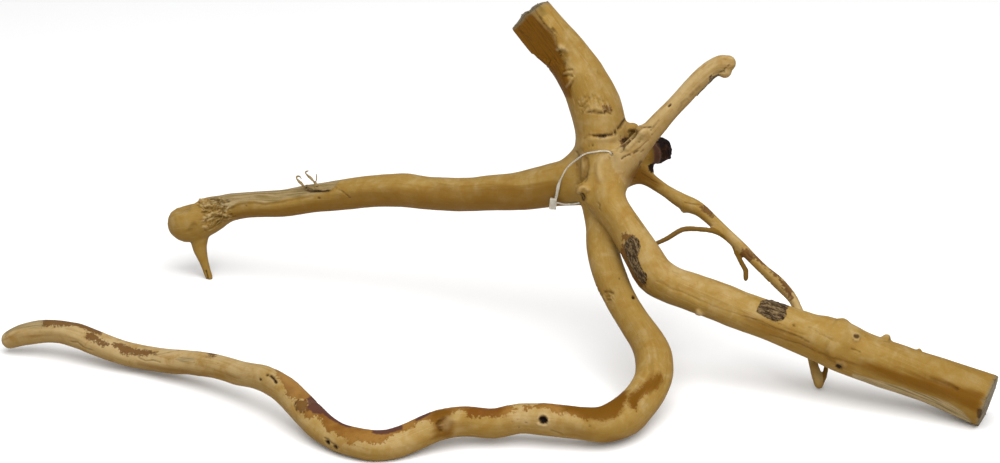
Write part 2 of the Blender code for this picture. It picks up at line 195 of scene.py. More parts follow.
TRUNK_LINES = {
    "recess_crack": (0.8, -0.8, 0.65, [(537, 14.4), (541, 20), (545, 26), (548.6, 30.6), (553.4, 34.4)]),
    "recess": (2.2, -0.9, 0.3, [(539.5, 11), (543, 14.5)]),
    "crack_foot": (1.1, -0.7, 0.6, [(552.8, 31), (555.6, 34)]),
    "facet_edge": (1.0, 0.5, -0.1, [(531, 15), (536, 19), (554, 37), (556, 46)]),
    "facet_streak": (0.5, -0.3, 0.45, [(520, 32.5), (523.6, 35.6), (526.6, 40)]),
    "facet_streak_low": (0.5, -0.3, 0.35, [(532, 44), (538, 50)]),
    "facet_streak_edge": (0.6, -0.4, 0.5, [(516.5, 32), (521, 37), (527, 44)]),
    "facet_streak_high": (0.5, -0.3, 0.4, [(530, 26), (537, 33), (546, 42)]),
    "long_crack": (0.6, -0.5, 0.5, [(548.6, 61), (552.6, 65), (556, 68.4)]),
    "split_fade": (5.0, 1.3, 0.0, [(538, 58), (544, 65)]),
    "split_corner": (3.0, -0.9, 0.0, [(528, 50), (532, 54)]),
    "pale_nub": (2.0, 1.0, -0.45, [(561, 48.5), (563.4, 50)]),
    "scoop": (3.0, -1.4, 0.15, [(559, 56), (562.6, 56), (562.4, 62), (560.6, 68)]),
    "scoop_lip": (1.2, 0.4, -0.3, [(556.6, 52.6), (562, 49.8), (567, 51.6)]),
    "wrinkle_a": (0.7, -0.7, 0.5, [(561, 74.6), (566, 72.7), (571.6, 71.8)]),
    "wrinkle_b": (0.7, -0.7, 0.5, [(561, 78.4), (567.7, 77), (571.6, 78)]),
    "wrinkle_c": (0.8, -0.7, 0.45, [(568.7, 89), (571.6, 83)]),
    "wrinkle_ridge": (0.9, 0.5, -0.15, [(562, 76), (566, 74.8), (571, 74)]),
    "wrinkle_flake": (1.1, 0.6, -0.2, [(566, 88), (569, 84), (571.4, 80)]),
    "side_dent": (1.6, -0.6, 0.1, [(600, 73), (604.6, 76)]),
    "scar_a": (0.6, -0.4, 0.35, [(579, 107.4), (581.6, 107.4), (587, 101.4), (590.7, 98)]),
    "scar_b": (0.5, -0.3, 0.3, [(578, 101), (582, 101), (586, 97.6)]),
    "scar_c": (0.6, -0.4, 0.35, [(597.4, 100.3), (601, 101), (603, 103.3)]),
    "scar_d": (0.5, -0.4, 0.5, [(581, 115.3), (583.5, 111), (585.4, 108.6)]),
    "scar_foot": (0.8, -0.7, 0.7, [(587, 113.4), (592, 112.6), (598, 114.4), (601, 114.8), (606, 112.6),
        (610, 114.4)]),
    "scar_lip": (1.2, 0.4, -0.15, [(588, 110.6), (594, 109.6), (600, 111)]),
}
ARM_LINES = {
    "tip_crack": (0.6, -0.8, 0.7, [(718.8, 72.8), (721.4, 71.4), (723.4, 70.6), (725.3, 68.3)]),
    "tip_spot": (0.6, -0.6, 0.75, [(727.2, 67.2), (728.3, 65.8)]),
    "tip_dot": (0.6, -0.3, 0.6, [(724.5, 59.1)]),
    "arm_pit": (0.9, -0.8, 0.95, [(668.3, 106.3), (669.2, 105.8)]),
    "arm_streak": (1.0, -0.2, 0.22, [(678.3, 111.1), (681.7, 103.5), (686.7, 100)]),
    "arm_shade": (1.3, -0.3, 0.25, [(690, 97), (694, 93), (699, 88)]),
}
BACK_ROOT_LINES = {
    "root_groove": (0.55, -0.5, 0.45, [(641.6, 172.8), (646, 176), (651.5, 180), (657.6, 183.4)]),
    "root_ledge": (0.6, -0.4, 0.4, [(684, 202.7), (690, 204), (696.4, 204.5), (706, 206.4)]),
    "root_mark_a": (0.8, -0.3, 0.6, [(746.6, 253), (749, 256), (753, 259)]),
    "root_mark_b": (0.9, -0.3, 0.5, [(780, 280), (784, 286), (790, 295)]),
    "root_knot": (0.9, -0.5, 0.6, [(712, 213), (716, 216)]),
}
RIGHT_LINES = {
    "patch_crack": (0.7, -0.25, 0.16, [(656, 281), (663, 284), (669, 288.4), (681, 292), (699, 301)]),
    "middle_crack": (0.6, -0.15, 0.1, [(690, 296), (712, 306), (730, 312), (748, 318)]),
    "middle_streak": (0.7, -0.3, 0.3, [(752, 318.6), (762, 324), (771, 328), (785, 333), (800, 337)]),
    "under_nub": (1.9, 1.0, -0.4, [(697.6, 310.6), (700.4, 312.4)]),
    "upper_streak": (0.8, -0.2, 0.2, [(672, 270.6), (678, 272.4)]),
    "lower_streak": (0.9, -0.3, 0.25, [(816, 352), (832, 358), (850, 364)]),
    "patch_pit": (0.9, -0.6, 0.8, [(791.7, 324.6)]),
    "grain_a": (0.5, -0.3, 0.45, [(744, 316), (758, 320), (772, 327), (790, 333), (806, 341)]),
    "grain_b": (0.5, -0.3, 0.4, [(768, 334), (784, 339), (798, 343), (812, 350)]),
    "grain_c": (0.45, -0.2, 0.35, [(776, 322.6), (790, 330), (802, 333.6)]),
    "grain_d": (0.45, -0.2, 0.35, [(806, 326), (818, 333), (830, 340)]),
    "hump": (7.0, 1.3, 0.0, [(829, 318), (838, 320), (851, 327)]),
    "ring_knot": (0.9, 0.7, -0.28, [(849.2, 338), (850.6, 335.6), (853.6, 335.3), (855.6, 337.6),
        (854.4, 340.2), (851, 340.3), (849.2, 338)]),
    "knot_core": (1.2, 0.2, 0.9, [(851.4, 337.6), (853.6, 338)]),
    "knot_swell": (5.0, 0.8, -0.05, [(852.3, 337.8)]),
    "knot_mark": (0.7, -0.4, 0.45, [(848, 348), (852, 349), (856, 351)]),
    "dark_hole": (2.0, -1.6, 0.95, [(835.6, 366.6), (836.8, 367.2)]),
    "hole_ridge": (1.4, 1.0, -0.15, [(835, 361.4), (839.5, 362), (842.6, 365)]),
    "pale_nub": (1.8, 0.7, -0.35, [(884.6, 335.6), (887.4, 336.6)]),
    "nub_shade": (0.9, -0.4, 0.35, [(882, 339.4), (887, 340.4), (890.6, 338)]),
    "small_nub": (1.3, 1.4, -0.25, [(920, 349.5)]),
    "end_stain": (1.5, -0.4, 0.8, [(975.2, 409.6), (974.9, 413), (975.6, 416.5)]),
    "end_crack": (1.0, -0.6, 0.5, [(947.5, 384.4), (950, 386.4), (952.3, 387.3)]),
    "end_streak": (1.3, -0.3, 0.3, [(928, 378), (936, 381.4), (944, 383)]),
}
LEFT_LINES = {
    "diagonal_crack": (0.5, -0.5, 0.55, [(335.6, 186.8), (339, 189.6), (342.6, 191.3), (346, 194.6),
        (350, 198.3)]),
    "slot": (1.0, -1.1, 0.85, [(308, 190.6), (313, 190.9), (319.6, 190.8), (328.8, 190.2)]),
    "arm_pit": (0.8, -0.6, 0.85, [(318.6, 198.2), (320.2, 198.5)]),
    "arm_pit_left": (0.7, -0.5, 0.7, [(247.6, 206)]),
    "grey_border": (0.9, 0.5, -0.1, [(226, 210), (231.6, 207), (242, 202), (256, 201), (265, 202.7),
        (277.6, 200.8)]),
    "under_border": (0.9, -0.3, 0.22, [(231, 209.4), (242, 204.6), (256, 203.6), (265, 205), (290, 200.6),
        (313, 196.6)]),
    "grey_line_a": (0.4, -0.3, 0.3, [(233, 199.6), (242, 198.3), (251, 197.4)]),
    "grey_line_b": (0.4, -0.3, 0.3, [(268, 193.6), (283, 192.6), (300, 191.4)]),
    "grey_line_c": (0.4, -0.3, 0.3, [(222, 198.6), (231, 199.8), (243, 198.9)]),
    "gap_a": (1.1, -1.2, 0.7, [(216.3, 198.7), (219.4, 201.4), (221, 204)]),
    "gap_b": (0.8, -0.9, 0.6, [(224.6, 203.4), (227.8, 200.6), (230, 202)]),
    "gap_c": (1.0, -1.0, 0.6, [(200, 203.4), (204, 204.6), (207.4, 204.2)]),
    "gap_d": (0.9, -1.0, 0.6, [(206, 209), (210.6, 208.4), (214.4, 209.2)]),
    "gap_e": (0.8, -0.8, 0.55, [(204.4, 212.6), (208.8, 211.8)]),
    "gap_f": (0.9, -0.9, 0.55, [(216.6, 215.6), (222, 217), (226.5, 217)]),
    "gap_g": (0.7, -0.8, 0.5, [(209, 218.4), (206.4, 222.6)]),
    "strand_a": (0.8, 0.7, -0.35, [(201, 201), (208, 201.2), (216, 202.6), (226, 205), (236, 204.4)]),
    "strand_b": (0.8, 0.7, -0.35, [(205, 207), (215, 206), (226.5, 204.6), (239, 202)]),
    "strand_c": (0.8, 0.6, -0.3, [(203.6, 222.5), (207, 218.6), (211, 216), (221.4, 211)]),
    "strand_d": (0.8, 0.6, -0.25, [(214, 213), (224, 213.6), (232, 216.4)]),
    "knob_shoulder": (8.0, -3.4, 0.0, [(178, 206), (184, 203), (190, 201)]),
    "shoulder_swell": (4.0, 1.9, 0.0, [(195, 204), (201, 202)]),
    "knob_dent": (2.4, -0.9, 0.15, [(193, 231), (196, 226)]),
    "foot_spot": (0.9, -0.5, 0.6, [(196.2, 243.4), (197, 244.8)]),
}
FOOT_LINES = {
    "foot_gap": (0.7, -1.1, 0.8, [(206.6, 271), (207.6, 275), (208, 280)]),
}
LONG_ROOT_LINES = {
    "knot_wrinkle_a": (0.8, -0.6, 0.75, [(604, 292), (608, 291.2), (612, 292.2)]),
    "knot_wrinkle_b": (0.7, -0.5, 0.6, [(606, 296.4), (609, 295.6)]),
    "knot_wrinkle_c": (0.7, -0.5, 0.5, [(606.6, 300), (610, 299)]),
    "root_pit": (0.8, -0.7, 0.85, [(618.8, 278)]),
    "red_hole": (1.2, -1.1, 0.95, [(633.3, 296.6), (633.3, 298)]),
    "knot_crease": (1.0, -1.3, 0.5, [(444, 416.8), (440.6, 419.6), (438, 422.5), (439.6, 427), (441, 430)]),
    "crease_bump": (3.0, 1.0, -0.2, [(448.6, 419.6), (446.4, 425)]),
    # The near black of black_hole is painted shadow inside the hole, and the paleness of hole_ring a painted
    # highlight round its rim.
    "black_hole": (2.2, -2.6, 1.0, [(542.3, 418.5), (543.1, 419.2)]),
    "hole_ring": (1.1, 0.6, -0.35, [(538, 416.4), (539.6, 413.8), (544, 413), (548, 416.6), (547.8, 421.4),
        (543.6, 424.4), (539, 423)]),
    "speck_a": (0.6, -0.3, 0.7, [(512, 420.4)]),
    "speck_b": (0.7, -0.4, 0.8, [(519.4, 427)]),
    "speck_c": (0.5, -0.3, 0.5, [(525, 421.6), (527, 422)]),
    "speck_d": (0.5, -0.3, 0.5, [(532.4, 430)]),
    "speck_e": (0.5, -0.3, 0.5, [(517, 418.6)]),
    "root_dot": (0.8, -0.4, 0.7, [(589, 425)]),
    "root_streak": (0.8, -0.4, 0.4, [(551, 430.4), (557, 432.6), (563, 435)]),
    "hole_a": (1.6, -1.6, 1.0, [(328.4, 442)]),
    "hole_b": (1.4, -1.4, 0.95, [(336.2, 446.7)]),
    "hole_crease": (0.7, -0.5, 0.65, [(325, 437.4), (328.6, 438.4), (333, 443), (335.6, 443.4),
        (338.6, 446)]),
    "disc_rim": (0.8, -0.5, 0.7, [(296, 401.6), (294.4, 405.4), (296.6, 409.4)]),
    "disc_swell": (4.0, 0.5, 0.0, [(301.5, 405.5)]),
    "edge_hole_a": (1.1, -1.0, 0.9, [(260.5, 379)]),
    "edge_hole_b": (1.0, -0.9, 0.9, [(268, 374.4)]),
    "edge_hole_c": (1.0, -0.9, 0.95, [(271.6, 375.4), (274, 377.6), (276.5, 381.5)]),
    "thin_dot_a": (0.6, -0.3, 0.7, [(169.7, 359)]),
    "thin_dot_b": (0.6, -0.3, 0.6, [(177.6, 356.6)]),
    "thin_dot_c": (0.6, -0.3, 0.7, [(195, 362)]),
    "thin_dot_d": (0.6, -0.3, 0.6, [(219, 363)]),
    "thin_line": (0.6, -0.3, 0.5, [(159, 353.4), (168, 352), (179.5, 350.2)]),
    "squiggle": (0.6, -0.4, 0.5, [(140, 357), (147, 360.4), (154, 359.4), (161.7, 362)]),
    "tip_streak": (0.7, -0.4, 0.5, [(73, 341), (80, 342), (86, 347), (94, 349.5)]),
    "thin_dark": (0.9, -0.4, 0.6, [(152, 351.4), (158.6, 350.6)]),
    "low_spot": (1.2, -0.3, 0.4, [(136, 369.4), (140, 370.4)]),
}
LINE_SETS = (("crown", CROWN_LINES), ("stem", TRUNK_LINES), ("upper_arm", ARM_LINES),
             ("back_root", BACK_ROOT_LINES), ("right_limb", RIGHT_LINES), ("left_arm", LEFT_LINES),
             ("foot", FOOT_LINES), ("stem", LONG_ROOT_LINES))

# Patches of another surface, and patches of painted shade (FACET, SHADED, and the crotch and the right limb's
# lower band in GOLDEN): what they lie on, and the pixels round them. Where one runs on round the limb, its
# outline goes on beyond the limb's edge in the picture by as far as it reaches round the back.
BARK = {
    "stub_rim": ("crown", [(664, 137), (669, 139.6), (673, 146), (673.6, 155), (670, 163), (666, 165),
        (668.4, 156), (668.6, 148), (666, 142)]),
    "limb_side": ("right_limb", [(627, 238.4), (632, 236), (638, 239), (639.4, 246), (638.4, 252),
        (636.6, 256), (638.6, 263), (641.6, 269), (646.4, 274), (645.6, 280), (642.4, 284.6), (637, 279),
        (633, 272.6), (629, 265.4), (626, 258), (623.4, 250), (624, 243)]),
    "limb_top": ("right_limb", [(754, 310.5), (758, 303.8), (760, 300.5), (773, 300.5), (780.6, 303.8),
        (785, 304.7), (788, 307.2), (784, 309.7), (785, 313.8), (780, 319.6), (771.5, 320.4), (763, 316.3)]),
    "arm_underside": ("upper_arm", [(708.1, 82), (708.9, 75.9), (710.8, 75.1), (712.7, 76.3), (718, 73.6),
        (722, 80), (708, 96), (700, 102), (696.6, 95), (701.2, 89.7), (706.6, 84.7)]),
}
INNER_BARK = {
    "shoulder": ("stem", [(661.6, 372.4), (662.4, 380), (657.6, 387.6), (652, 389.4), (644, 392.4),
        (638, 401), (635.8, 408), (631, 407.6), (627.3, 402), (628.5, 396), (637, 390), (644, 382.7),
        (656.4, 373.6)]),
    "long_band": ("stem", [(627.6, 392), (627.3, 396), (623.6, 402), (620, 409.4), (616.4, 415.5), (609, 416),
        (604, 420.3), (599.4, 416.7), (587.3, 416.7), (584.8, 419.7), (577.6, 415.5), (568, 413),
        (563, 411.8), (558, 413.6), (552, 410.6), (545, 408.2), (536.4, 408.2), (532.7, 406.6), (538, 403.4),
        (548, 397), (565, 395), (590, 396), (610, 394), (622, 388)]),
    "speck": ("stem", [(523, 409), (530, 409), (531.6, 406), (528, 404), (522.4, 406)]),
    "far_band": ("stem", [(516, 409.3), (513, 411.8), (505.6, 413.7), (501, 416), (492.4, 416.7),
        (480.7, 416.7), (466, 416.7), (465.3, 411.5), (458.7, 410), (445.5, 416.7), (440, 419),
        (434.5, 422.5), (429.4, 419.6), (417.6, 421), (412, 427), (400, 430.6), (387, 437), (382.4, 443),
        (372, 441.6), (360, 440), (354.5, 443.8), (348.7, 441.6), (347, 436.5), (334, 431), (326.7, 430),
        (323, 419.6), (316.4, 414.5), (309, 417.4), (303, 413.7), (308, 404), (322, 402), (336, 412),
        (352, 418), (372, 419), (392, 414), (408, 404), (428, 396), (450, 392), (480, 391), (500, 398),
        (510, 404.6)]),
    "rising_band": ("stem", [(275, 370), (276.5, 374.4), (283, 382), (288, 393.6), (293, 398.7), (300, 399),
        (309, 400), (322, 398), (314, 384), (300, 368), (288, 358), (276, 360)]),
}
PURPLE = {
    "beside_disc": ("stem", [(307.6, 399), (312, 394), (322, 400), (326, 411.5), (321.5, 413.5), (314, 412.4),
        (309, 407)]),
    "edge_a": ("stem", [(322, 411), (329, 417.4), (337, 422), (350, 427.6), (353, 424), (340, 412),
        (328, 404)]),
    "edge_b": ("stem", [(372, 432.4), (382, 433.4), (392, 431), (403, 427.6), (402, 420), (388, 426),
        (374, 429)]),
    "edge_c": ("stem", [(416, 420.4), (423, 417.6), (431, 413.6), (430, 406), (418, 412)]),
}
GREY = {
    "arm_top": ("left_arm", [(226, 212), (231.6, 207), (242, 202), (256, 201), (265, 202.7), (277.6, 200.8),
        (290, 198.3), (313, 194.4), (328.6, 191.3), (336, 187), (345, 176), (320, 166), (280, 168),
        (240, 176), (222, 186), (206, 196), (212, 203), (222, 208)]),
    "tip_end": ("stem", [(0, 336), (6, 328), (20, 321), (20, 326.6), (8, 335), (5, 342), (9, 345), (4, 349)]),
    "thin_smudge": ("stem", [(177, 358.6), (183, 356.4), (196, 356.8), (196, 361), (184, 361.6)]),
    "tip_patch": ("stem", [(14, 330), (18, 320), (36, 314), (50, 316), (48, 325.6), (40, 327.4), (30, 327.6),
        (20, 329)]),
    "sawn_edge": ("stem", [(514, 20), (520, 12), (531, 7), (535, 8), (531, 12), (522, 19)]),
    "limb_strip": ("right_limb", [(850, 373), (880, 381.5), (920, 393), (945, 402), (958, 410), (970, 421),
        (962, 430), (920, 416), (880, 402), (846, 388)]),
}
STAIN = {
    "arm_top": ("left_arm", [(256, 196.2), (262, 195.6), (276, 197), (284, 196.4), (282, 199.2), (268, 200),
        (257, 199)]),
    "recess": ("stem", [(537, 9), (546, 8), (548, 16), (543, 18)]),
}
CHARRED = {
    "stub": ("crown", [(656.6, 139), (661, 137), (666, 138.6), (671, 146), (671.6, 155), (667.4, 163),
        (661.4, 166), (659.6, 163), (662.4, 158), (661.4, 150), (657.4, 145)]),
    "thorn": ("crown", [(648, 165.4), (651, 164), (655, 163.6), (656, 171), (651, 173), (648.6, 170)]),
}
CRUMBLED = {
    "frayed_end": ("left_arm", [(197, 203.5), (204, 200), (210.8, 197.6), (221.5, 197), (230.8, 202),
        (236, 205.6), (232, 211), (237, 216), (233.8, 221), (224.6, 222.4), (215.4, 229.6), (206, 233),
        (203, 226.5), (203.2, 219), (203.6, 210), (197, 206.6)]),
}
CHIPPED = {
    "trunk_scar": ("stem", [(576, 104), (580, 97), (590, 94.6), (602, 95.4), (611, 101), (612, 112),
        (606, 116.6), (590, 116), (580, 114)]),
    "root_knot": ("stem", [(602, 294), (605.6, 289), (612, 290), (614.4, 296), (613, 303), (608.6, 304),
        (604, 300)]),
    "knot_crease": ("stem", [(437, 418), (445, 416), (447, 424), (443, 432), (437, 428)]),
    "hole_rim": ("crown", [(621, 138.4), (628, 136.6), (629.6, 142), (624, 149), (620.4, 147)]),
}
BROWN = {
    "tip_edge": ("stem", [(43, 318), (45, 326), (52, 325.4), (66, 326), (74, 324.4), (82, 327), (90, 330),
        (101, 334.6), (103, 326), (84, 318), (60, 312)]),
    "thin_flake": ("stem", [(86, 333), (92, 332), (100, 335), (104, 340), (112, 343), (110, 346),
        (104, 345.5), (98, 342), (90, 339)]),
    "thin_patch": ("stem", [(113, 343.5), (120, 342), (129, 345), (138, 348), (143.5, 349), (156, 351),
        (158, 354), (150, 354.5), (141.6, 356), (134, 353.5), (128, 354.5), (120, 349)]),
    "thin_edge": ("stem", [(208, 352), (216, 352), (216, 357), (209, 357.4)]),
    "hole_border": ("crown", [(621, 137.6), (629.6, 137), (629, 144), (624, 149), (620.4, 147)]),
    "patch_top": ("right_limb", [(620, 235), (624, 232.6), (629, 233.6), (634, 236), (632, 240), (624, 242.4),
        (620.6, 240)]),
    "patch_side": ("right_limb", [(622, 244), (625, 243), (628, 258), (640, 280), (646, 284), (641, 287),
        (630, 274), (620, 256)]),
    "root_bark_a": ("back_root", [(741, 250), (745, 247), (752, 251), (754, 258), (748, 261), (742, 256)]),
    "root_bark_b": ("back_root", [(752, 252), (758, 252), (770, 262), (772, 268), (764, 266), (756, 260)]),
    "root_bark_c": ("back_root", [(768, 268), (776, 266), (782, 274), (781, 280), (774, 276)]),
    "root_bark_d": ("back_root", [(779, 280), (786, 280), (793, 292), (792, 300), (785, 293)]),
    "root_bark_e": ("back_root", [(700, 207), (706, 205), (714, 211), (712, 217), (704, 213)]),
    "disc": ("stem", [(295, 400.6), (301, 399.4), (308.4, 399.6), (309.4, 410), (302.6, 411.6),
        (297, 409.4)]),
    "scar": ("stem", [(602, 106.6), (610, 106), (612, 113), (604, 113)]),
}
# Painted shade: the split face below the upper end and the side of the limb below it, which face away from
# the light.
FACET = {
    "split_side": ("stem", [(511, 28), (531, 15), (536, 19), (554, 37), (557, 47), (560, 58), (563, 68),
        (566, 78), (571, 90), (572, 99), (562, 96), (548, 76), (530, 54), (510, 36)]),
}
# The crotch and limb_band are painted shade, in the crotch and along the right limb's shaded lower side. The
# rest is the deeper gold of inner bark and of a knot.
GOLDEN = {
    "crotch": ("crown", [(631, 170), (636, 165), (644, 167), (654, 176), (662, 185), (655, 189), (645, 184),
        (635, 184), (629, 177)]),
    "shoulder_bark": INNER_BARK["shoulder"],
    "band_bark": ("stem", [(627, 391), (624, 403), (616, 416), (600, 420), (585, 418), (575, 413), (562, 411),
        (562, 402), (590, 400), (612, 396)]),
    "knot": ("stem", [(430, 411), (450, 409), (455, 424), (450, 438), (433, 438)]),
    "limb_band": ("right_limb", [(838, 359), (860, 362), (885, 367), (915, 375), (945, 382), (979, 391),
        (976, 413), (950, 399), (915, 387), (885, 376), (858, 367)]),
}
# Painted shade: the undersides and shaded sides of limbs, deepened towards gold.
SHADED = {
    "limb_shade": ("right_limb", [(742, 313), (770, 323), (800, 336), (838, 355), (852, 366), (836, 366),
        (806, 351), (770, 335), (742, 322)]),
    "thin_underside": ("stem", [(140, 363), (170, 366), (200, 371), (240, 377), (200, 376), (170, 373)]),
    "tip_underside": ("stem", [(8, 338), (34, 334), (80, 340), (34, 338)]),
    "bend_underside": ("stem", [(566, 426), (590, 430), (600, 433), (590, 438), (568, 434)]),
    "shoulder_underside": ("stem", [(608, 434), (630, 438), (640, 432), (646, 438), (628, 448), (604, 442)]),
    "olive": ("stem", [(447, 421), (458, 420.6), (471, 422), (470, 427), (456, 428), (447, 426)]),
    "arm_underside": ("left_arm", [(232, 215), (260, 210), (300, 204), (340, 196), (400, 188), (440, 187),
        (500, 188), (556, 182), (568, 206), (500, 218), (440, 218), (340, 222), (240, 230)]),
}
PATCH_SETS = {"bark": BARK, "inner": INNER_BARK, "purple": PURPLE, "grey": GREY, "stain": STAIN,
              "brown": BROWN, "facet": FACET, "golden": GOLDEN, "shaded": SHADED, "charred": CHARRED,
              "crumbled": CRUMBLED, "chipped": CHIPPED}
PATCH_HEIGHT = {"bark": 0.6, "inner": 0.22, "charred": 0.5, "crumbled": 0.0, "chipped": 0.0}
PATCH_ROUGHNESS = {"bark": 0.45, "inner": 0.07, "charred": 0.8, "crumbled": 0.5, "chipped": 0.2}
PATCH_BORDER = {"bark": 1.2, "inner": 2.4, "purple": 1.6, "grey": 2, "stain": 3, "brown": 2.2, "facet": 2,
                "golden": 5, "shaded": 5, "charred": 1.6, "crumbled": 1.6, "chipped": 1.6}

# How ragged the line marks are, how far past half their width they reach, and how their darkness varies.
RAGGED_BY = 0.35
RAGGED_SIZE = 1.6
LINE_REACH = 1.45
SHADE_REACH = 1.25
SHADE_SIZE = 2.4
SHADE_LEAST = 0.3
SOLID_SHADE = 0.75
SHADE_FADE = 0.9

# Seeded marks for the sides that aren't in the photograph: limb, first and last millimetre along it, number.
HIDDEN_MARKS = (("stem", 10, 175, 8), ("stem", 185, 690, 26), ("left_arm", 40, 285, 13),
                ("right_limb", 40, 270, 13), ("upper_arm", 25, 105, 4), ("back_root", 30, 190, 5))
HIDDEN_FROM = math.radians(100)
HIDDEN_SEED = 4
CRACK_SHARE = 0.5
CRACK_OR_PIT_SHARE = 0.8
CRACK_LENGTHS = (6, 26)
CRACK_DRIFTS = (-2, 2)
CRACK_WOBBLE = 0.4
CRACK_STOPS = (0, 0.3, 0.6, 1)
CRACK_WIDTHS = (0.5, 0.9)
CRACK_DEPTHS = (0.5, 1.1)
CRACK_SHADE = 0.7
PIT_WIDTHS = (0.7, 1.5)
PIT_DEPTHS = (0.5, 1.4)
PIT_SHADE = 0.9
WRINKLES = 3
WRINKLE_STEP = 3
WRINKLE_REACH = 4
WRINKLE_LOOK = (0.7, -0.5, 0.45)

# Relief: heights in millimetres, with the size of the swellings along and round a limb.
LUMPS = ((0.45, 22), (0.22, 9))
GRAIN_HEIGHT = 0.16
GRAIN_SIZES = (26, 3.2)
GRAIN_TWIST = 0.006
GRAIN_APART = 300
END_RELIEF = 0.12
CRUMBLED_HEIGHT = 0.75
FRAYED_SHARE = {"crumbled": 1, "chipped": 0.5}
FIBRE_SIZES = (5, 1.1)
WEAR_DEPTH = 0.6
WEAR_WIDTH = 1.4
GREY_RIM_WIDTH = 3.2
SPLIT_FADE = 12
SPLIT_PASSES = 140

# The uneven upper end: the picture's direction across it, its width, how deep it reaches, and how far it
# stands out of the saw's plane from one side to the other.
UPPER_END_WAY = (0.767, 0.643)
UPPER_END_WIDTH = 26.6
UPPER_END_DEPTH = 7
UPPER_END_PROFILE = ((0, 0), (0.2, 0.4), (0.32, 1.0), (0.41, 2.1), (0.51, 2.2), (0.61, 1.1), (0.70, 1.75),
                     (0.80, 1.6), (0.94, 0.4), (1, -0.6))

# Prongs split off the left arm: pixels where they lie along it, then places in the air as stations.
LONG_PRONG = ([(333, 189.8), (327, 190.4), (320, 190), (313, 189), (308, 187.6)], [
    (-117.6, 27.0, 85.5, 1.2), (-119.2, 28.8, 86.5, 0.95), (-121.4, 30.9, 87.5, 0.8), (-122.6, 32.2, 88, 0.7),
    (-121.6, 33.6, 88.4, 0.6), (-119.9, 33.2, 88.6, 0.5), (-119.2, 31.6, 88.6, 0.35),
])
SHORT_PRONG = ([(322, 189.6), (316, 188.4)], [
    (-109.8, 27.8, 85.5, 1.1), (-112.8, 31.3, 86.5, 0.9), (-115.4, 33.7, 87, 0.8), (-117, 34.9, 87, 0.7),
    (-117, 36.0, 87.2, 0.55), (-115.2, 36.4, 87.6, 0.4),
])
THIN_PRONG = ([(317, 188.2)], [
    (-110.7, 29.6, 86.5, 0.5), (-109.8, 32, 87.2, 0.42), (-110.3, 34.5, 87, 0.3),
])
LYING_RADII = (0.5, 1.7)
LYING_EXCESS = 1.1
LYING_LIFT = 0.8
SPLINTER_SIDES = 12
STRIP_TONE = -0.6
FIBRES = {
    "a": [(201, 201), (208, 201.4), (216, 202), (227, 205.4)],
    "b": [(205, 207), (213, 206.6), (226.5, 204.6), (238, 201.8)],
    "c": [(203.6, 222.5), (207, 218.6), (211, 216), (221.4, 211)],
    "d": [(210, 211.6), (220, 212.6), (233, 217)],
    "e": [(212, 203), (217, 207), (219, 212)],
    "f": [(198.4, 204.6), (205, 209), (213, 212.4)],
    "g": [(223, 199), (228, 203.6), (236, 206)],
    "h": [(206, 213), (209, 218), (208, 225)],
    "i": [(219, 208), (227, 208.4), (235, 207)],
}
FIBRE_LIFT = 0.7
FIBRE_RADIUS = 0.5
FIBRE_SIDES = 7
FIBRE_COUNT = 22
FIBRE_SEED = 11
FIBRE_LENGTHS = (4, 11)
FIBRE_SLOPES = (-0.5, 0.5)
FIBRE_BENDS = (-1.5, 1.5)
FIBRE_LIFTS = (0.2, 1.2)
FIBRE_RADII = (0.25, 0.5)
FIBRE_STOPS = 10
FIBRE_MARGIN = 0.3

# Stations: across, up, behind, radius.
STEM = [
    (13, 137, -15, 13.0), (29, 117, -12, 13.6), (41, 103, -9, 14.0), (50.3, 90, -6, 14.8),
    (56.5, 76, -3, 16.1), (60.3, 61, 0, 16.5), (61, 46, 2, 16.8), (60, 31, 2, 15.0), (60, 16, 0, 11.8),
    (61, 3, -5, 10.1), (62, -13, -12, 9.7), (67.3, -29, -20, 9.4), (73.3, -42, -28, 8.9), (80, -53, -36, 8.9),
    (88, -65, -46, 9.9), (92, -76, -55, 11.0), (91.5, -89, -66, 10.8), (85, -101, -77, 10.5),
    (75, -111, -91, 10.9), (62, -116, -100, 10.2), (48, -115, -101, 9.1), (30, -113, -99, 9.1),
    (12, -112, -97, 8.8), (-3, -115, -97, 8.7), (-20, -114, -98, 8.7), (-36, -116, -101, 9.0),
    (-50, -122, -105, 8.8), (-62, -127, -109, 8.7), (-75, -129, -111, 8.6), (-86, -127, -109, 8.1),
    (-96, -124, -104, 7.9), (-108, -117, -95, 8.0), (-119, -106, -84, 8.0), (-130, -95, -72, 7.9),
    (-142, -88, -60, 7.3), (-156, -85, -47, 7.1), (-170, -81, -36, 7.2), (-184, -79, -26, 7.5),
    (-198, -78, -17, 7.7), (-212, -76, -9, 7.4), (-226, -73, -4, 7.4), (-240, -68, 1, 7.4),
    (-252, -63, 5, 7.4), (-264, -60, 9, 7.0), (-276, -60, 13, 7.0), (-287, -62, 15, 6.4),
    (-294, -65, 17, 5.4),
]
LEFT_ARM = [
    (60, 34, 4, 12.4), (48, 30, 10, 14.1), (36, 28.5, 17, 13.9), (24, 26, 24, 13.2), (11, 24, 31, 12.4),
    (-6, 23, 40, 11.2), (-24, 22, 49, 10.6), (-42, 23, 58, 10.4), (-60, 25, 67, 10.5), (-78, 24, 77, 9.9),
    (-96, 21.6, 87, 9.3), (-114, 19.4, 96, 8.8), (-132, 16.8, 104, 8.8), (-150, 16, 111, 8.8),
    (-164, 14, 117, 9.6), (-175, 9, 120, 12.0), (-183, 6.5, 121, 13.4), (-187, 5.5, 121, 13.2),
]
KNOB_TOP = [
    (-166, 15, 117, 8.2), (-175, 14, 118, 7.6), (-179, 12, 119, 7.0),
]
FOOT = [
    (-180, 0, 122, 6.2), (-180.4, -8, 123.5, 4.9), (-179.9, -11, 124, 4.4), (-177.5, -18.3, 125.5, 3.2),
    (-175.8, -23.7, 127, 2.9), (-174.6, -27, 127.4, 2.7), (-174.2, -29, 127.2, 2.3),
]
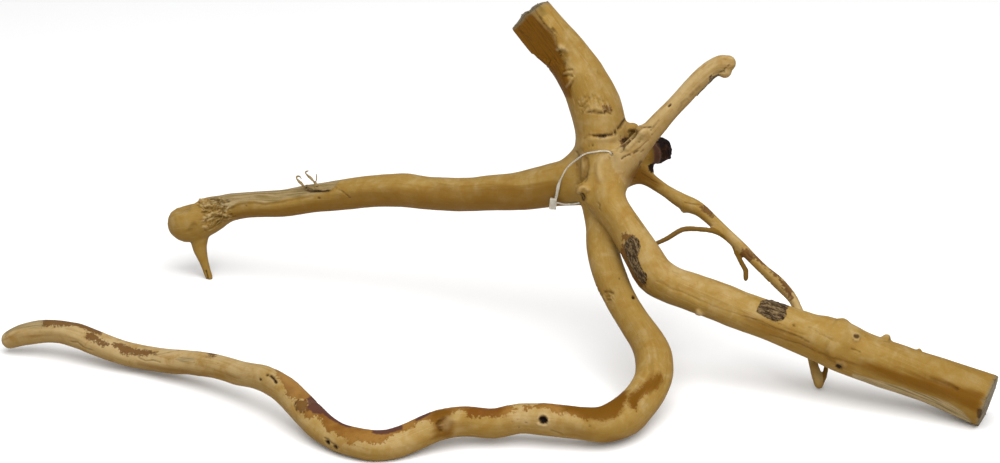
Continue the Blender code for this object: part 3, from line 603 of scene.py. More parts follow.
RIGHT_LIMB = [
    (64, 38, -7, 12.8), (63, 27, -13, 12.6), (66, 16, -17, 11.3), (72.6, 7, -22, 10.2), (80, -5, -26, 10.5),
    (87, -17, -29, 10.9), (92.2, -25.5, -31, 11.2), (102, -31.8, -33, 10.9), (113, -36, -35, 10.9),
    (130, -42, -37, 11.3), (148, -49, -40, 11.3), (169, -56, -44, 12.1), (189, -63.5, -48, 13.2),
    (206, -70, -52, 15.0), (223, -76.5, -57, 14.6), (242, -83, -62, 14.1), (262, -89.5, -67, 13.8),
    (280, -97, -71.5, 14.6), (300, -105, -76.5, 15.4),
]
UPPER_ARM = [
    (65, 24, -9, 10.0), (69, 33, -10.5, 10.8), (75, 42, -14.5, 9.4), (82, 50.3, -18.5, 7.7),
    (89, 58.3, -21, 6.5), (97, 67.2, -23, 5.8), (108, 79, -25, 5.1), (119, 91, -27, 5.3), (127, 98, -28, 5.1),
    (133, 101, -29, 5.0), (137, 101, -29, 4.6),
]
BACK_ROOT = [
    (72, 33, 2, 9.5), (80, 34, 4, 6.6), (84, 33.8, 5, 5.8), (89.4, 31.2, 6, 4.9), (100, 24, 6, 4.0),
    (108, 19, 6, 4.6), (114, 16, 5, 4.9), (119.5, 13.4, 4, 4.2), (126.2, 7.8, 3, 3.7), (132, 2.1, 1, 3.6),
    (144, -8.7, -3, 3.4), (156, -20.7, -7, 3.1), (168, -31.8, -11, 3.8), (176, -41, -14, 3.2),
    (181, -53, -21, 3.0), (185, -66, -26, 3.0), (187.5, -77, -29, 3.0), (189.5, -85, -31, 3.1),
    (191.5, -91.5, -32, 3.0),
]
BARKED_STUB = [(78, 45, 6, 8.4), (87, 47.8, 9, 8.2), (91.5, 48.8, 11, 8.2), (94.8, 48.8, 12.5, 8.0)]
THORN = [(88, 43.5, 9, 4.4), (90.4, 39.8, 8, 2.6), (91.2, 36.8, 8, 1.5)]
ARMPIT = [(56, 47, 6, 12.0), (46, 40, 10, 9.0), (36, 35, 15, 6.5)]
SHOULDER = [(66, 52, 0, 9.0), (72.5, 58.8, 0, 7.0), (77.5, 61, 1, 5.0)]
HEEL = [(60, 27, -12, 8.0), (54, 26, -16, 5.6), (49, 26, -18, 4.2)]
HEEL_LOBE = [(62, 22, -14, 8.0), (55, 19, -16, 5.6)]
ARM_TIP = [(134, 100, -28, 4.4), (135, 96, -28, 4.0)]
SPUR = [(112, 17, 5, 3.6), (110.5, 13.2, 5, 2.4)]
KNOT_BULGE = [(205, -67, -56, 13.0), (210, -67, -60, 9.0)]
TOP_NUB = [(230, -72, -58, 7.0), (232, -64.5, -57, 2.4)]
UNDER_NUB = [(119, -40, -38, 7.0), (119, -48, -41, 2.6)]

# Twigs and splinters.
SIDE_TWIG = [
    (137, -3.8, -1, 2.4), (131, -0.5, -1, 1.9), (123, 1.0, -2, 1.6), (114, 1.6, -3, 1.5), (108, 0.6, -3, 1.5),
    (101, -3.8, -4, 1.5), (95, -6.6, -5, 1.5), (88, -9.6, -6, 1.5),
]
DOWN_TWIG = [
    (141, -7.5, -2, 2.2), (142, -13, -3, 1.6), (144.5, -18, -3, 1.6), (147.4, -23, -3, 1.6),
    (147.4, -28.5, -3, 1.6),
]
FORK_TWIG = [
    (192.5, -91, -32, 1.9), (194.8, -87, -31, 1.6), (195.6, -82, -29, 1.5), (195.4, -77, -27, 1.5),
    (194, -71, -26, 1.4),
]
LIMBS = {
    "stem": STEM, "left_arm": LEFT_ARM, "foot": FOOT, "right_limb": RIGHT_LIMB, "upper_arm": UPPER_ARM,
    "back_root": BACK_ROOT, "barked_stub": BARKED_STUB, "thorn": THORN, "shoulder": SHOULDER,
    "armpit": ARMPIT, "heel": HEEL, "heel_lobe": HEEL_LOBE, "arm_tip": ARM_TIP, "spur": SPUR,
    "knot_bulge": KNOT_BULGE, "top_nub": TOP_NUB, "under_nub": UNDER_NUB, "knob_top": KNOB_TOP,
    "side_twig": SIDE_TWIG, "down_twig": DOWN_TWIG, "fork_twig": FORK_TWIG,
}

# Millimetres along a limb and its tone there: 1 for pale wood, 0 for middling, -1 for deep gold, -2 for twig
# bark and -3 for charred bark. Elsewhere it is PLAIN_TONE.
TONES = {
    "stem": ((0, 0.0), (60, 0.0), (90, 0.3), (110, 0.4), (150, 0.2), (190, -0.35), (230, -0.3), (290, 0.0),
             (340, 0.35), (400, 0.35), (480, 0.4), (560, 0.7), (700, 0.75)),
    "left_arm": ((0, 0.0), (40, 0.1), (120, 0.0), (200, -0.1), (260, -0.4), (300, -0.1)),
    "foot": ((0, 0.0), (40, -0.4)),
    "right_limb": ((0, 0.1), (60, 0.3), (120, 0.3), (180, -0.05), (230, -0.35), (290, -0.5)),
    "upper_arm": ((0, 0.35), (30, 0.7), (120, 0.7)),
    "back_root": ((0, -0.4), (50, 0.0), (100, 0.4), (150, 0.6), (200, 0.2), (225, -1.4)),
    "barked_stub": ((0, 0.2), (9, 0.0), (13, -3.0)),
    "thorn": ((0, -1.0), (3, -3.0)),
    "side_twig": ((0, -1.4), (60, -2)),
    "down_twig": ((0, -1.0), (30, -2)),
    "fork_twig": ((0, -1.2), (30, -1.6)),
}
PLAIN_TONE = 0.5

# Colours: red, green and blue from 0 to 255, as a screen shows them.
PALE_WOOD = (160, 137, 94)
MIDDLE_WOOD = (140, 112, 56)
OCHRE = (130, 94, 36)
# The deep wood colour below is also laid on as painted shade where the surface faces down.
DEEP_WOOD_AND_UNDERSIDE_SHADE = (106, 76, 16)
# The bleached colour below also gives painted highlights on ridges, rims and raised strands.
BLEACHED_AND_HIGHLIGHT = (172, 153, 114)
# Painted shadow: the near black inside deep cracks and holes.
CRACK_AND_HOLE_SHADOW = (16, 9, 5)
# The dark of the line marks: partly real, in cracks, pits and stains, partly painted shade in grooves and
# hollows.
DARK_MARK_AND_SHADE = (54, 32, 12)
# The streak colour below is also the painted shadow just inside the edge of inner bark.
STREAK_AND_EDGE_SHADOW = (98, 68, 22)
INNER_BARK_LIGHT = (128, 90, 36)
INNER_BARK_PALE = (152, 120, 70)
INNER_BARK_DARK = (96, 54, 2)
PURPLE_DARK = (70, 40, 36)
GREY_WOOD = (144, 124, 88)
GREY_DARK = (98, 85, 52)
OLIVE = (104, 86, 34)
TWIG_BARK = (92, 68, 28)
BROWN_STAIN = (90, 58, 20)
# The next two colours are painted shade on the split face; the first is also painted shade on shaded sides,
# undersides and a crotch, and the real deep gold of inner bark and a knot.
SHADE_AND_DEEP_GOLD = (94, 59, 0)
FACET_SHADE_DARK = (70, 42, 0)
BARK_LIGHT = (124, 103, 72)
BARK_DARK = (44, 30, 14)
# The light charred colour below is also the painted shadow just inside the edge of the brown patches.
CHAR_LIGHT_AND_EDGE_SHADOW = (62, 36, 26)
CHAR_DARK = (18, 8, 6)
CUT_WOOD = (106, 95, 72)
CUT_DARK = (80, 66, 44)
NYLON_DARK = (198, 192, 178)
NYLON_LIGHT = (218, 213, 200)
FLOOR_DARK = (236, 236, 236)
FLOOR_LIGHT = (239, 239, 239)

# The wood's noises. Those along the grain: how it is stretched, detail, roughness and distortion. Those in
# space: scale for millimetres, detail, roughness and distortion.
GRAIN_NOISES = {
    "broad": ((0.018, 0.22, 0.22), 5, 0.6, 0.3),
    "fibre": ((0.05, 1.3, 1.3), 6, 0.65, 0.2),
    "flaky": ((0.3, 0.85, 0.85), 6, 0.7, 0.8),
}
SPACE_NOISES = {
    "blotch": (0.045, 5, 0.6, 0), "patchy": (0.11, 5, 0.6, 0.5), "mottle": (0.35, 5, 0.65, 0),
    "fine": (0.7, 6, 0.65, 0), "speck": (1.3, 4, 0.6, 0), "end_grain": (0.6, 6, 0.7, 0),
    "rough": (0.8, 6, 0.7, 0),
}

# Layers of the wood's colour: what lays them on, between which of its values they come in, how much of them
# at most, and their colour. The first set lies under the painted underside shade, and the last one over the
# patches.
BARE_LAYERS = (("broad", 0.48, 0.72, 0.4, DEEP_WOOD_AND_UNDERSIDE_SHADE), ("patchy", 0.50, 0.66, 0.5, OCHRE),
               ("patchy", 0.52, 0.28, 0.32, BLEACHED_AND_HIGHLIGHT), ("mottle", 0.52, 0.8, 0.2, BLEACHED_AND_HIGHLIGHT))
STREAK_LAYERS = (("faded", 0.58, 0.72, 0.35, STREAK_AND_EDGE_SHADOW), ("faded", 0.42, 0.30, 0.25, BLEACHED_AND_HIGHLIGHT),
                 ("tone", 0, -1, 0.9, DEEP_WOOD_AND_UNDERSIDE_SHADE), ("tone", -1, -2, 0.9, TWIG_BARK),
                 ("tone", -2, -3, 0.95, CHAR_LIGHT_AND_EDGE_SHADOW))
LAST_LAYERS = (("speck", 0.70, 0.76, 1, STREAK_AND_EDGE_SHADOW), ("flaky", 0.68, 0.76, 0.4, STREAK_AND_EDGE_SHADOW))
PALE_WOOD_FROM = (0.1, 0.9)
TONE_BLOTCHES = 1.3
# The painted underside shade: the span of upward facing over which it fades out, how strongly blotches move
# it, and how much of the deep colour it lays on at most.
TOP_LIGHT_RAMP = (-0.3, 1.2)
TOP_LIGHT_BLOTCHES = 0.5
UNDERSIDE_SHADE_SHARE = 0.65

# The looks of the patches, in the order in which they are laid on: the noise that frays the border and by how
# much, between which values of the frayed mask they come in, where the bare mask is full, how much of them at
# most, their colour, its layers, and the share and colour of a painted shadow just inside the border. Facet
# and shaded, and the crotch and limb band among golden, are painted shade.
PATCH_LOOKS = {
    "facet": ("mottle", 0.9, 0.1, 0.9, 0.15, 0.97, SHADE_AND_DEEP_GOLD,
              (("fibre", 0.5, 0.62, 0.6, FACET_SHADE_DARK),), None),
    "grey": ("fibre", 0.9, 0.3, 0.7, 0.15, 0.9, GREY_WOOD, (("fibre", 0.45, 0.62, 1, GREY_DARK),), None),
    "stain": ("mottle", 0.9, 0.25, 0.75, 0.15, 0.45, OLIVE, (), None),
    "inner": ("torn", 0.9, 0.4, 0.6, 0.15, 0.95, INNER_BARK_DARK,
              (("blotch", 0.36, 0.64, 1, INNER_BARK_LIGHT), ("mottle", 0.5, 0.7, 0.4, INNER_BARK_DARK),
               ("tone", 0.35, 0.75, 0.6, INNER_BARK_PALE)), (0.5, STREAK_AND_EDGE_SHADOW)),
    "brown": ("torn", 0.9, 0.3, 0.7, 0.15, 0.9, BROWN_STAIN, (), (0.7, CHAR_LIGHT_AND_EDGE_SHADOW)),
    "shaded": ("broad", 1, 0.2, 0.8, 0.2, 0.55, SHADE_AND_DEEP_GOLD, (), None),
    "golden": ("broad", 1, 0.2, 0.8, 0.2, 0.9, SHADE_AND_DEEP_GOLD, (), None),
    "purple": ("mottle", 0.9, 0.3, 0.7, 0.15, 0.9, PURPLE_DARK, (), None),
    "bark": ("fine", 0.9, 0.4, 0.6, 0.15, 1, BARK_DARK, (("flaky", 0.42, 0.66, 1, BARK_LIGHT),), None),
    "charred": ("fine", 0.9, 0.4, 0.6, 0.15, 1, CHAR_DARK, (("mottle", 0.52, 0.74, 1, CHAR_LIGHT_AND_EDGE_SHADOW),), None),
    "worn": ("fine", 0.8, 0.2, 0.9, 0.2, 0.7, CUT_WOOD, (), None),
}
MASK_START = 0.02
# Where the painted shadow just inside a patch's edge lies in the frayed mask.
RIM_SHADOW_OUTER = (0.45, 0.55)
RIM_SHADOW_INNER = (0.6, 0.8)
TORN_MOTTLE = 1.8
CUT_MOTTLE = (0.42, 0.62)
DARK_BASE = 0.75
DARK_MOTTLE = 0.5
CRACK_AND_HOLE_SHADOW_FROM = (0.86, 1)
WOOD_ROUGHNESS = (0.5, 0.3)
WOOD_SPECULAR = 0.08

# Bumps too small for the mesh: what raises them, how far in metres, and how strongly.
BUMPS = (("mottle", 0.0006, 0.35), ("faded", 0.0004, 0.5), ("speck", 0.0002, 0.3),
         ("bark_relief", 0.0012, 0.8))

NYLON = {"Subsurface Weight": 0.35, "Subsurface Radius": (0.002, 0.002, 0.002), "Transmission Weight": 0.55,
         "IOR": 1.53}
NYLON_CLOUDS = (0.35, 0.65)
NYLON_ROUGHNESS = (0.25, 0.2)
NYLON_BUMP = (0.0001, 0.3)

# The studio. Lamps: where they hang, how wide they are, in metres, and their power.
FLOOR_SIZE = 6
FLOOR_ROUGHNESS = 0.9
FLOOR_BUMP = (0.0001, 0.1)
SENSOR = 36
IMAGE_WIDTH = 1000
WORLD_STRENGTH = 0.6
LAMPS = {
    "overhead": ((0.2, -0.7, 1.35), 2.0, 42),
}


def place(across, up, behind):
    """The part-frame position, in metres, of a station read from the front in millimetres."""
    spread = 1 + behind / VIEW_DISTANCE
    right, high = across * spread, up * spread
    x = right - ORIGIN_ACROSS
    y = high * math.sin(VIEW_TILT) + behind * math.cos(VIEW_TILT) - ORIGIN_BEHIND
    z = high * math.cos(VIEW_TILT) - behind * math.sin(VIEW_TILT) + FLOOR_DEPTH
    return Vector((x, y, z)) * MM


def toward(across, up, behind):
    """A direction read from the front, turned into the part's frame."""
    y = up * math.sin(VIEW_TILT) + behind * math.cos(VIEW_TILT)
    z = up * math.cos(VIEW_TILT) - behind * math.sin(VIEW_TILT)
    return Vector((across, y, z)).normalized()


def sampled(stations, step):
    """Centres and radii every step millimetres or so along a smooth curve through the stations, in metres."""
    points = [np.array((*place(*s[:3]), s[3] * MM)) for s in stations]
    knots = [2 * points[0] - points[1], *points, 2 * points[-1] - points[-2]]
    found = []
    for a, b, c, d in zip(knots, knots[1:], knots[2:], knots[3:]):
        count = max(1, round(np.linalg.norm(c[:3] - b[:3]) / (step * MM)))
        for t in np.arange(count) / count:
            bend = (2 * a - 5 * b + 4 * c - d) * t**2 + (3 * b - a - 3 * c + d) * t**3
            found.append(0.5 * (2 * b + (c - a) * t + bend))
    found.append(points[-1])
    found = np.array(found)
    return found[:, :3], found[:, 3]


def frames(centres):
    """Directions along the curve, and two sideways ones that don't twist as they follow it."""
    tangents = np.gradient(centres, axis=0)
    tangents /= np.linalg.norm(tangents, axis=1)[:, None]
    side = np.cross(tangents[0], toward(0, 0, -1))
    sides = []
    for tangent in tangents:
        side = side - tangent * (side @ tangent)
        side /= np.linalg.norm(side)
        sides.append(side)
    sides = np.array(sides)
    return tangents, sides, np.cross(tangents, sides)


def distances_along(centres):
    steps = np.linalg.norm(np.diff(centres, axis=0), axis=1)
    return np.concatenate([[0], np.cumsum(steps)])


def swelling(along, angles, seed):
    """How far the wood's outline departs from a true circle, as a factor of its radius."""
    wave = along / (SWELL_LENGTH * MM)
    return (1 + 0.04 * np.cos(2 * angles + seed + 1.7 * wave)
            + 0.024 * np.cos(3 * angles - 2.1 * wave + 2 * seed)
            + 0.012 * np.cos(5 * angles + 3.3 * wave + 3 * seed) + 0.012 * np.sin(4.1 * wave + seed))


def sweep(mesh, centres, radii, sides, shape=None):
    """Adds a tube with domed ends to a bmesh. shape(along, angles) scales its radius."""
    tangents, across, over = frames(centres)
    along = distances_along(centres)
    angles = np.arange(sides) / sides * 2 * math.pi
    rings = []
    for i, centre in enumerate(centres):
        spread = radii[i] * (shape(along[i], angles) if shape else np.ones(sides))
        ring = centre + np.outer(np.cos(angles) * spread, across[i])
        ring = ring + np.outer(np.sin(angles) * spread, over[i])
        rings.append([mesh.verts.new(point) for point in ring])
    for a, b in zip(rings, rings[1:]):
        bridge(mesh, a, b)
    dome(mesh, rings[0], centres[0], -tangents[0] * radii[0])
    dome(mesh, rings[-1], centres[-1], tangents[-1] * radii[-1])


def bridge(mesh, a, b):
    for i in range(len(a)):
        j = (i + 1) % len(a)
        mesh.faces.new((a[i], a[j], b[j], b[i]))


def dome(mesh, ring, centre, way):
    """Closes one end of a tube with a round cap that rises by way."""
    last = ring
    for share in DOME_STEPS:
        shrink = math.sqrt(1 - share**2)
        now = [mesh.verts.new(centre + (np.array(v.co) - centre) * shrink + way * share) for v in ring]
        bridge(mesh, last, now)
        last = now
    mesh.faces.new(last)


def add_object(name, mesh):
    """A new object from a bmesh whose faces are turned to point outwards."""
    made = bpy.data.meshes.new(name)
    bmesh.ops.recalc_face_normals(mesh, faces=mesh.faces)
    mesh.to_mesh(made)
    mesh.free()
    obj = bpy.data.objects.new(name, made)
    bpy.context.scene.collection.objects.link(obj)
    return obj


def applied(obj):
    """Puts the result of the object's modifiers into its mesh."""
    graph = bpy.context.evaluated_depsgraph_get()
    made = bpy.data.meshes.new_from_object(obj.evaluated_get(graph))
    obj.modifiers.clear()
    obj.data = made


def combine(obj, other, operation):
    """Cuts the other object out of this one or adds it, and removes the other."""
    change = obj.modifiers.new(other.name, "BOOLEAN")
    change.object = other
    change.operation = operation
    change.solver = "EXACT"
    applied(obj)
    bpy.data.objects.remove(other)


def relax(mesh, passes, weights):
    """Moves each vertex towards the mean of its neighbours, by its weight."""
    count = len(mesh.vertices)
    points = np.empty(count * 3)
    mesh.vertices.foreach_get("co", points)
    points = points.reshape(-1, 3)
    ends = np.empty(len(mesh.edges) * 2, np.int64)
    mesh.edges.foreach_get("vertices", ends)
    ends = ends.reshape(-1, 2)
    degree = np.bincount(ends.ravel(), minlength=count)[:, None]
    for _ in range(passes):
        total = np.zeros_like(points)
        for a, b in ((0, 1), (1, 0)):
            for axis in range(3):
                total[:, axis] += np.bincount(ends[:, a], points[ends[:, b], axis], minlength=count)
        points += weights * (total / degree - points)
    mesh.vertices.foreach_set("co", points.astype(np.float32).ravel())
    mesh.update()


def near_crown(mesh):
    """1 at the crown and 0 away from it, so that only the crotches there are filled with fillets."""
    points = np.array([v.co for v in mesh.vertices])
    distance = np.linalg.norm(points - np.array(place(*CROWN)), axis=1) / MM
    return np.clip((CROWN_REACH - distance) / CROWN_FADE, 0, 1)[:, None]


def make_limbs():
    """All the limbs run together into one closed skin."""
    mesh = bmesh.new()
    for number, stations in enumerate(LIMBS.values()):
        centres, radii = sampled(stations, STEP)
        sweep(mesh, centres, radii, LIMB_SIDES, lambda along, angles: swelling(along, angles, number))
    body = add_object("driftwood", mesh)
    one_skin = body.modifiers.new("one_skin", "REMESH")
    one_skin.mode = "VOXEL"
    one_skin.voxel_size = VOXEL * MM
    applied(body)
    relax(body.data, FILLET_PASSES, FILLET_SHARE * near_crown(body.data))
    relax(body.data, SMOOTH_PASSES, SMOOTH_SHARE)
    body.data.calc_loop_triangles()
    fewer = body.modifiers.new("fewer_faces", "DECIMATE")
    fewer.ratio = FINE_TRIANGLES / len(body.data.loop_triangles)
    applied(body)
    return body


def block(name, middle, ways, sizes):
    """A box with its middle at a point and its sides along three square directions."""
    mesh = bmesh.new()
    bmesh.ops.create_cube(mesh, size=1)
    turn = Matrix([way * size for way, size in zip(ways, sizes)]).transposed().to_4x4()
    bmesh.ops.transform(mesh, matrix=Matrix.Translation(middle) @ turn, verts=mesh.verts)
    return add_object(name, mesh)


def square_ways(first, second):
    """Three square directions: the first, the second made square to it, and the one square to both."""
    second = (second - first * first.dot(second)).normalized()
    return first, second, first.cross(second)


def saw_off(body, on_axis, further_in):
    """Cuts a limb off square to its axis."""
    point = place(*on_axis)
    outward = (point - place(*further_in)).normalized()
    ways = square_ways(outward, toward(0, 0, -1))
    size = CUTTER * MM
    combine(body, block("saw_cut", point + outward * size / 2, ways, (size, size, size)), "DIFFERENCE")


def split_off_strip(body):
    """Cuts the flat face below the upper sawn end."""
    top = place(*UPPER_END[0])
    outward = (top - place(*UPPER_END[1])).normalized()
    ways = square_ways(outward, toward(*SPLIT_FACING))
    size = CUTTER * MM
    middle = top + outward * (size / 2 - SPLIT_LENGTH * MM) + ways[1] * (SPLIT_DEPTH * MM + size / 2)
    combine(body, block("split", middle, ways, (size, size, size)), "DIFFERENCE")


def stand_flat(body):
    """Takes the three low points down to small flat spots on the surface that the piece stands on."""
    ways = (Vector((1, 0, 0)), Vector((0, 1, 0)), Vector((0, 0, 1)))
    size = CUTTER * MM
    combine(body, block("surface", Vector((0, 0, -size / 2)), ways, (1, 1, size)), "DIFFERENCE")


def loop_hole():
    """The hole through the crown that the loop's strand runs in."""
    centres, radii = sampled(LOOP, LOOP_STEP)
    along = distances_along(centres) / MM
    chosen = (along > LOOP_HIDDEN[0]) & (along < LOOP_HIDDEN[1])
    mesh = bmesh.new()
    sweep(mesh, centres[chosen], radii[chosen] + LOOP_CLEARANCE * MM, LOOP_SIDES)
    return add_object("loop_hole", mesh)


def make_loop():
    """The strand with its barbed tail, and the head that locks it."""
    mesh = bmesh.new()
    centres, radii = sampled(LOOP, LOOP_STEP)
    sweep(mesh, centres, radii, LOOP_SIDES)
    loop = add_object("tag_loop", mesh)
    top, bottom = place(*HEAD_TOP), place(*HEAD_BOTTOM)
    ways = square_ways((bottom - top).normalized(), toward(0, 0, -1))
    sizes = ((bottom - top).length, HEAD_DEPTH * MM, HEAD_WIDTH * MM)
    head = block("head", (top + bottom) / 2, ways, sizes)
    rounded = head.modifiers.new("rounded", "BEVEL")
    rounded.width = HEAD_EDGE * MM
    rounded.segments = 2
    applied(head)
    combine(loop, head, "UNION")
    return loop


def seen(pixel):
    """A pixel of the photograph as millimetres across and up from the middle of the view."""
    return np.array(((pixel[0] - IMAGE_MIDDLE[0]) * PIXEL, (IMAGE_MIDDLE[1] - pixel[1]) * PIXEL))


def as_seen(points):
    """Where points in metres appear, in millimetres across and up, and how much smaller things look there."""
    x = points[:, 0] / MM + ORIGIN_ACROSS
    y = points[:, 1] / MM + ORIGIN_BEHIND
    z = points[:, 2] / MM - FLOOR_DEPTH
    high = y * math.sin(VIEW_TILT) + z * math.cos(VIEW_TILT)
    behind = y * math.cos(VIEW_TILT) - z * math.sin(VIEW_TILT)
    spread = 1 + behind / VIEW_DISTANCE
    return np.stack([x / spread, high / spread], axis=1), spread


def unit(rows):
    return rows / np.linalg.norm(rows, axis=1)[:, None]


def dots(a, b):
    return np.einsum("ij,ij->i", a, b)


class LimbMap:
    """A limb's centreline, with places on its surface as millimetres along it and round it from the front."""

    def __init__(self, stations):
        self.centres, self.radii = sampled(stations, MAP_STEP)
        self.along = distances_along(self.centres) / MM
        self.tangents = unit(np.gradient(self.centres, axis=0))
        sight = unit(np.array(place(0, 0, -VIEW_DISTANCE)) - self.centres)
        self.fronts = unit(sight - self.tangents * dots(sight, self.tangents)[:, None])
        self.sides = np.cross(self.fronts, self.tangents)
        self.shown, spread = as_seen(self.centres)
        self.shown_radii = self.radii / MM / spread
        self.shown_sides = self.in_picture(self.sides)
        self.lean = self.in_picture(self.fronts) * self.shown_radii[:, None]

    @staticmethod
    def in_picture(ways):
        """The parts of directions that lie in the picture plane."""
        high = ways[:, 1] * math.sin(VIEW_TILT) + ways[:, 2] * math.cos(VIEW_TILT)
        return np.stack([ways[:, 0], high], axis=1)

    def from_pixel(self, pixel):
        """The place that shows at a pixel. Past the limb's edge in the picture it goes on round the back."""
        target = seen(pixel)
        for _ in range(4):
            i = np.argmin(((self.shown - target) ** 2).sum(axis=1))
            ratio = (target - self.shown[i]) @ self.shown_sides[i] / self.shown_radii[i]
            turn = math.asin(np.clip(ratio, -1, 1)) + math.copysign(max(abs(ratio) - 1, 0), ratio)
            target = seen(pixel) - self.lean[i] * max(math.cos(turn), 0)
        return self.along[i], turn * self.radii[i] / MM

    def locate(self, points):
        """For each point: millimetres along, the turn round, its distance in radii, and the radius there."""
        centres, radii = self.centres[::COARSE], self.radii[::COARSE]
        squares = (points**2).sum(axis=1)[:, None] + (centres**2).sum(axis=1)[None] - 2 * points @ centres.T
        nearest = np.argmin(np.maximum(squares, 0) / radii[None] ** 2, axis=1) * COARSE
        ahead = dots(points - self.centres[nearest], self.tangents[nearest])
        fine = np.clip(nearest + np.round(ahead / (MAP_STEP * MM)).astype(int), 0, len(self.centres) - 1)
        offset = points - self.centres[fine]
        past = dots(offset, self.tangents[fine])
        offset = offset - self.tangents[fine] * past[:, None]
        beyond = np.where((fine == 0) | (fine == len(self.centres) - 1), np.abs(past), 0)
        size = np.hypot(np.linalg.norm(offset, axis=1), beyond) / self.radii[fine]
        turn = np.arctan2(dots(offset, self.sides[fine]), dots(offset, self.fronts[fine]))
        return self.along[fine] + past / MM, turn, size, self.radii[fine] / MM

    def on_surface(self, along, round_from_front, lift):
        """The point at a place on the limb, lift millimetres above it."""
        i = int(np.argmin(np.abs(self.along - along)))
        turn = round_from_front * MM / self.radii[i]
        way = self.fronts[i] * math.cos(turn) + self.sides[i] * math.sin(turn)
        return self.centres[i] + way * (self.radii[i] + lift * MM)


LIMB_MAPS = {name: LimbMap(LIMBS[name]) for name in MAPPED}


class Surface:
    """Where each vertex of the wood lies on the limbs and in the picture."""

    def __init__(self, points, normals):
        self.points = points
        count = len(points)
        self.limb = np.zeros(count, int)
        self.nearness = np.full(count, np.inf)
        self.runner_up = np.full(count, np.inf)
        self.along, self.turn, self.radius = np.zeros((3, count))
        for number, limb_map in enumerate(LIMB_MAPS.values()):
            self.claim(number, *limb_map.locate(points))
        self.places = np.stack([self.along, self.turn * self.radius], axis=1)
        self.shown = as_seen(points)[0]
        sight = unit(np.array(place(0, 0, -VIEW_DISTANCE)) - points)
        self.facing = dots(normals, sight)

    def claim(self, number, along, turn, nearness, radius):
        """Gives this limb the vertices that it is nearest to, counted in its own radii."""
        won = nearness < self.nearness
        self.runner_up = np.where(won, self.nearness, np.minimum(self.runner_up, nearness))
        self.nearness = np.where(won, nearness, self.nearness)
        self.limb[won] = number
        self.along[won], self.turn[won], self.radius[won] = along[won], turn[won], radius[won]

    def carried_by(self, where):
        """The vertices that a mark on this limb, or on the crown, can reach, and their places in its map."""
        if where == "crown":
            near = np.linalg.norm(self.points - np.array(place(*CROWN)), axis=1) < CROWN_MAP_REACH * MM
            chosen = np.flatnonzero(near & (self.facing > CROWN_FACING))
            return chosen, self.shown[chosen]
        chosen = np.flatnonzero(self.limb == MAPPED.index(where))
        return chosen, self.places[chosen]

    def grain(self):
        """Coordinates along and round each limb, for streaks that follow it."""
        turn = self.turn + self.along * GRAIN_TWIST
        mean = np.array([np.mean(m.radii) / MM for m in LIMB_MAPS.values()])[self.limb]
        along = self.along + GRAIN_APART * self.limb
        return np.stack([along, mean * np.cos(turn), mean * np.sin(turn)], axis=1)


def mapped(where, pixels):
    """Pixels of the photograph as places in the map of a limb, or of the crown."""
    if where == "crown":
        return np.array([seen(pixel) for pixel in pixels])
    return np.array([LIMB_MAPS[where].from_pixel(pixel) for pixel in pixels])


def distance_to_line(places, line):
    if len(line) == 1:
        return np.linalg.norm(places - line[0], axis=1)
    nearest = np.full(len(places), np.inf)
    for a, b in zip(line, line[1:]):
        way = b - a
        share = np.clip((places - a) @ way / max(way @ way, 1e-9), 0, 1)
        nearest = np.minimum(nearest, np.linalg.norm(places - a - share[:, None] * way, axis=1))
    return nearest


def depth_inside(places, outline):
    """How far inside a closed outline each place is, below zero outside it."""
    inside = np.zeros(len(places), bool)
    x, y = places[:, 0], places[:, 1]
    for (x1, y1), (x2, y2) in zip(outline, np.roll(outline, -1, axis=0)):
        if y1 != y2:
            inside ^= ((y1 > y) != (y2 > y)) & (x < (x2 - x1) * (y - y1) / (y2 - y1) + x1)
    distance = distance_to_line(places, np.vstack([outline, outline[:1]]))
    return np.where(inside, distance, -distance)


def hidden_marks():
    """Cracks, pits and wrinkles for the far sides, as lines in the limbs' maps."""
    pick = random.Random(HIDDEN_SEED)
    marks = []
    for where, first, last, count in HIDDEN_MARKS:
        for _ in range(count):
            along = pick.uniform(first, last)
            i = int(np.argmin(np.abs(LIMB_MAPS[where].along - along)))
            radius = LIMB_MAPS[where].radii[i] / MM
            turn = pick.choice((-1, 1)) * pick.uniform(HIDDEN_FROM, math.pi - 0.1)
            kind = pick.random()
            if kind < CRACK_SHARE:
                length, drift = pick.uniform(*CRACK_LENGTHS), pick.uniform(*CRACK_DRIFTS)
                line = [(along + t * length,
                         turn * radius + drift * t**2 + pick.uniform(-CRACK_WOBBLE, CRACK_WOBBLE))
                        for t in CRACK_STOPS]
                half_width, depth = pick.uniform(*CRACK_WIDTHS), pick.uniform(*CRACK_DEPTHS)
                marks.append((where, half_width, -depth, CRACK_SHADE, np.array(line)))
            elif kind < CRACK_OR_PIT_SHARE:
                half_width, depth = pick.uniform(*PIT_WIDTHS), pick.uniform(*PIT_DEPTHS)
                marks.append((where, half_width, -depth, PIT_SHADE, np.array([(along, turn * radius)])))
            else:
                for k in range(WRINKLES):
                    start, middle = along + WRINKLE_STEP * k, turn * radius + pick.uniform(-1, 1)
                    line = np.array([(start, middle - WRINKLE_REACH), (start + 1, middle),
                                     (start, middle + WRINKLE_REACH)])
                    marks.append((where, *WRINKLE_LOOK, line))
    return marks


def all_lines():
    """Every line mark as its limb, half width, height, shade and places."""
    found = []
    for where, lines in LINE_SETS:
        for half_width, height, shade, pixels in lines.values():
            found.append((where, half_width, height, shade, mapped(where, pixels)))
    return found + hidden_marks()


def all_patches():
    """Every patch as its kind, limb and outline."""
    return [(kind, where, mapped(where, pixels))
            for kind, patches in PATCH_SETS.items() for where, pixels in patches.values()]


def near(places, outline, reach):
    """Which places lie in the box round an outline, widened by reach."""
    low, high = outline.min(axis=0) - reach, outline.max(axis=0) + reach
    return np.flatnonzero(((places > low) & (places < high)).all(axis=1))


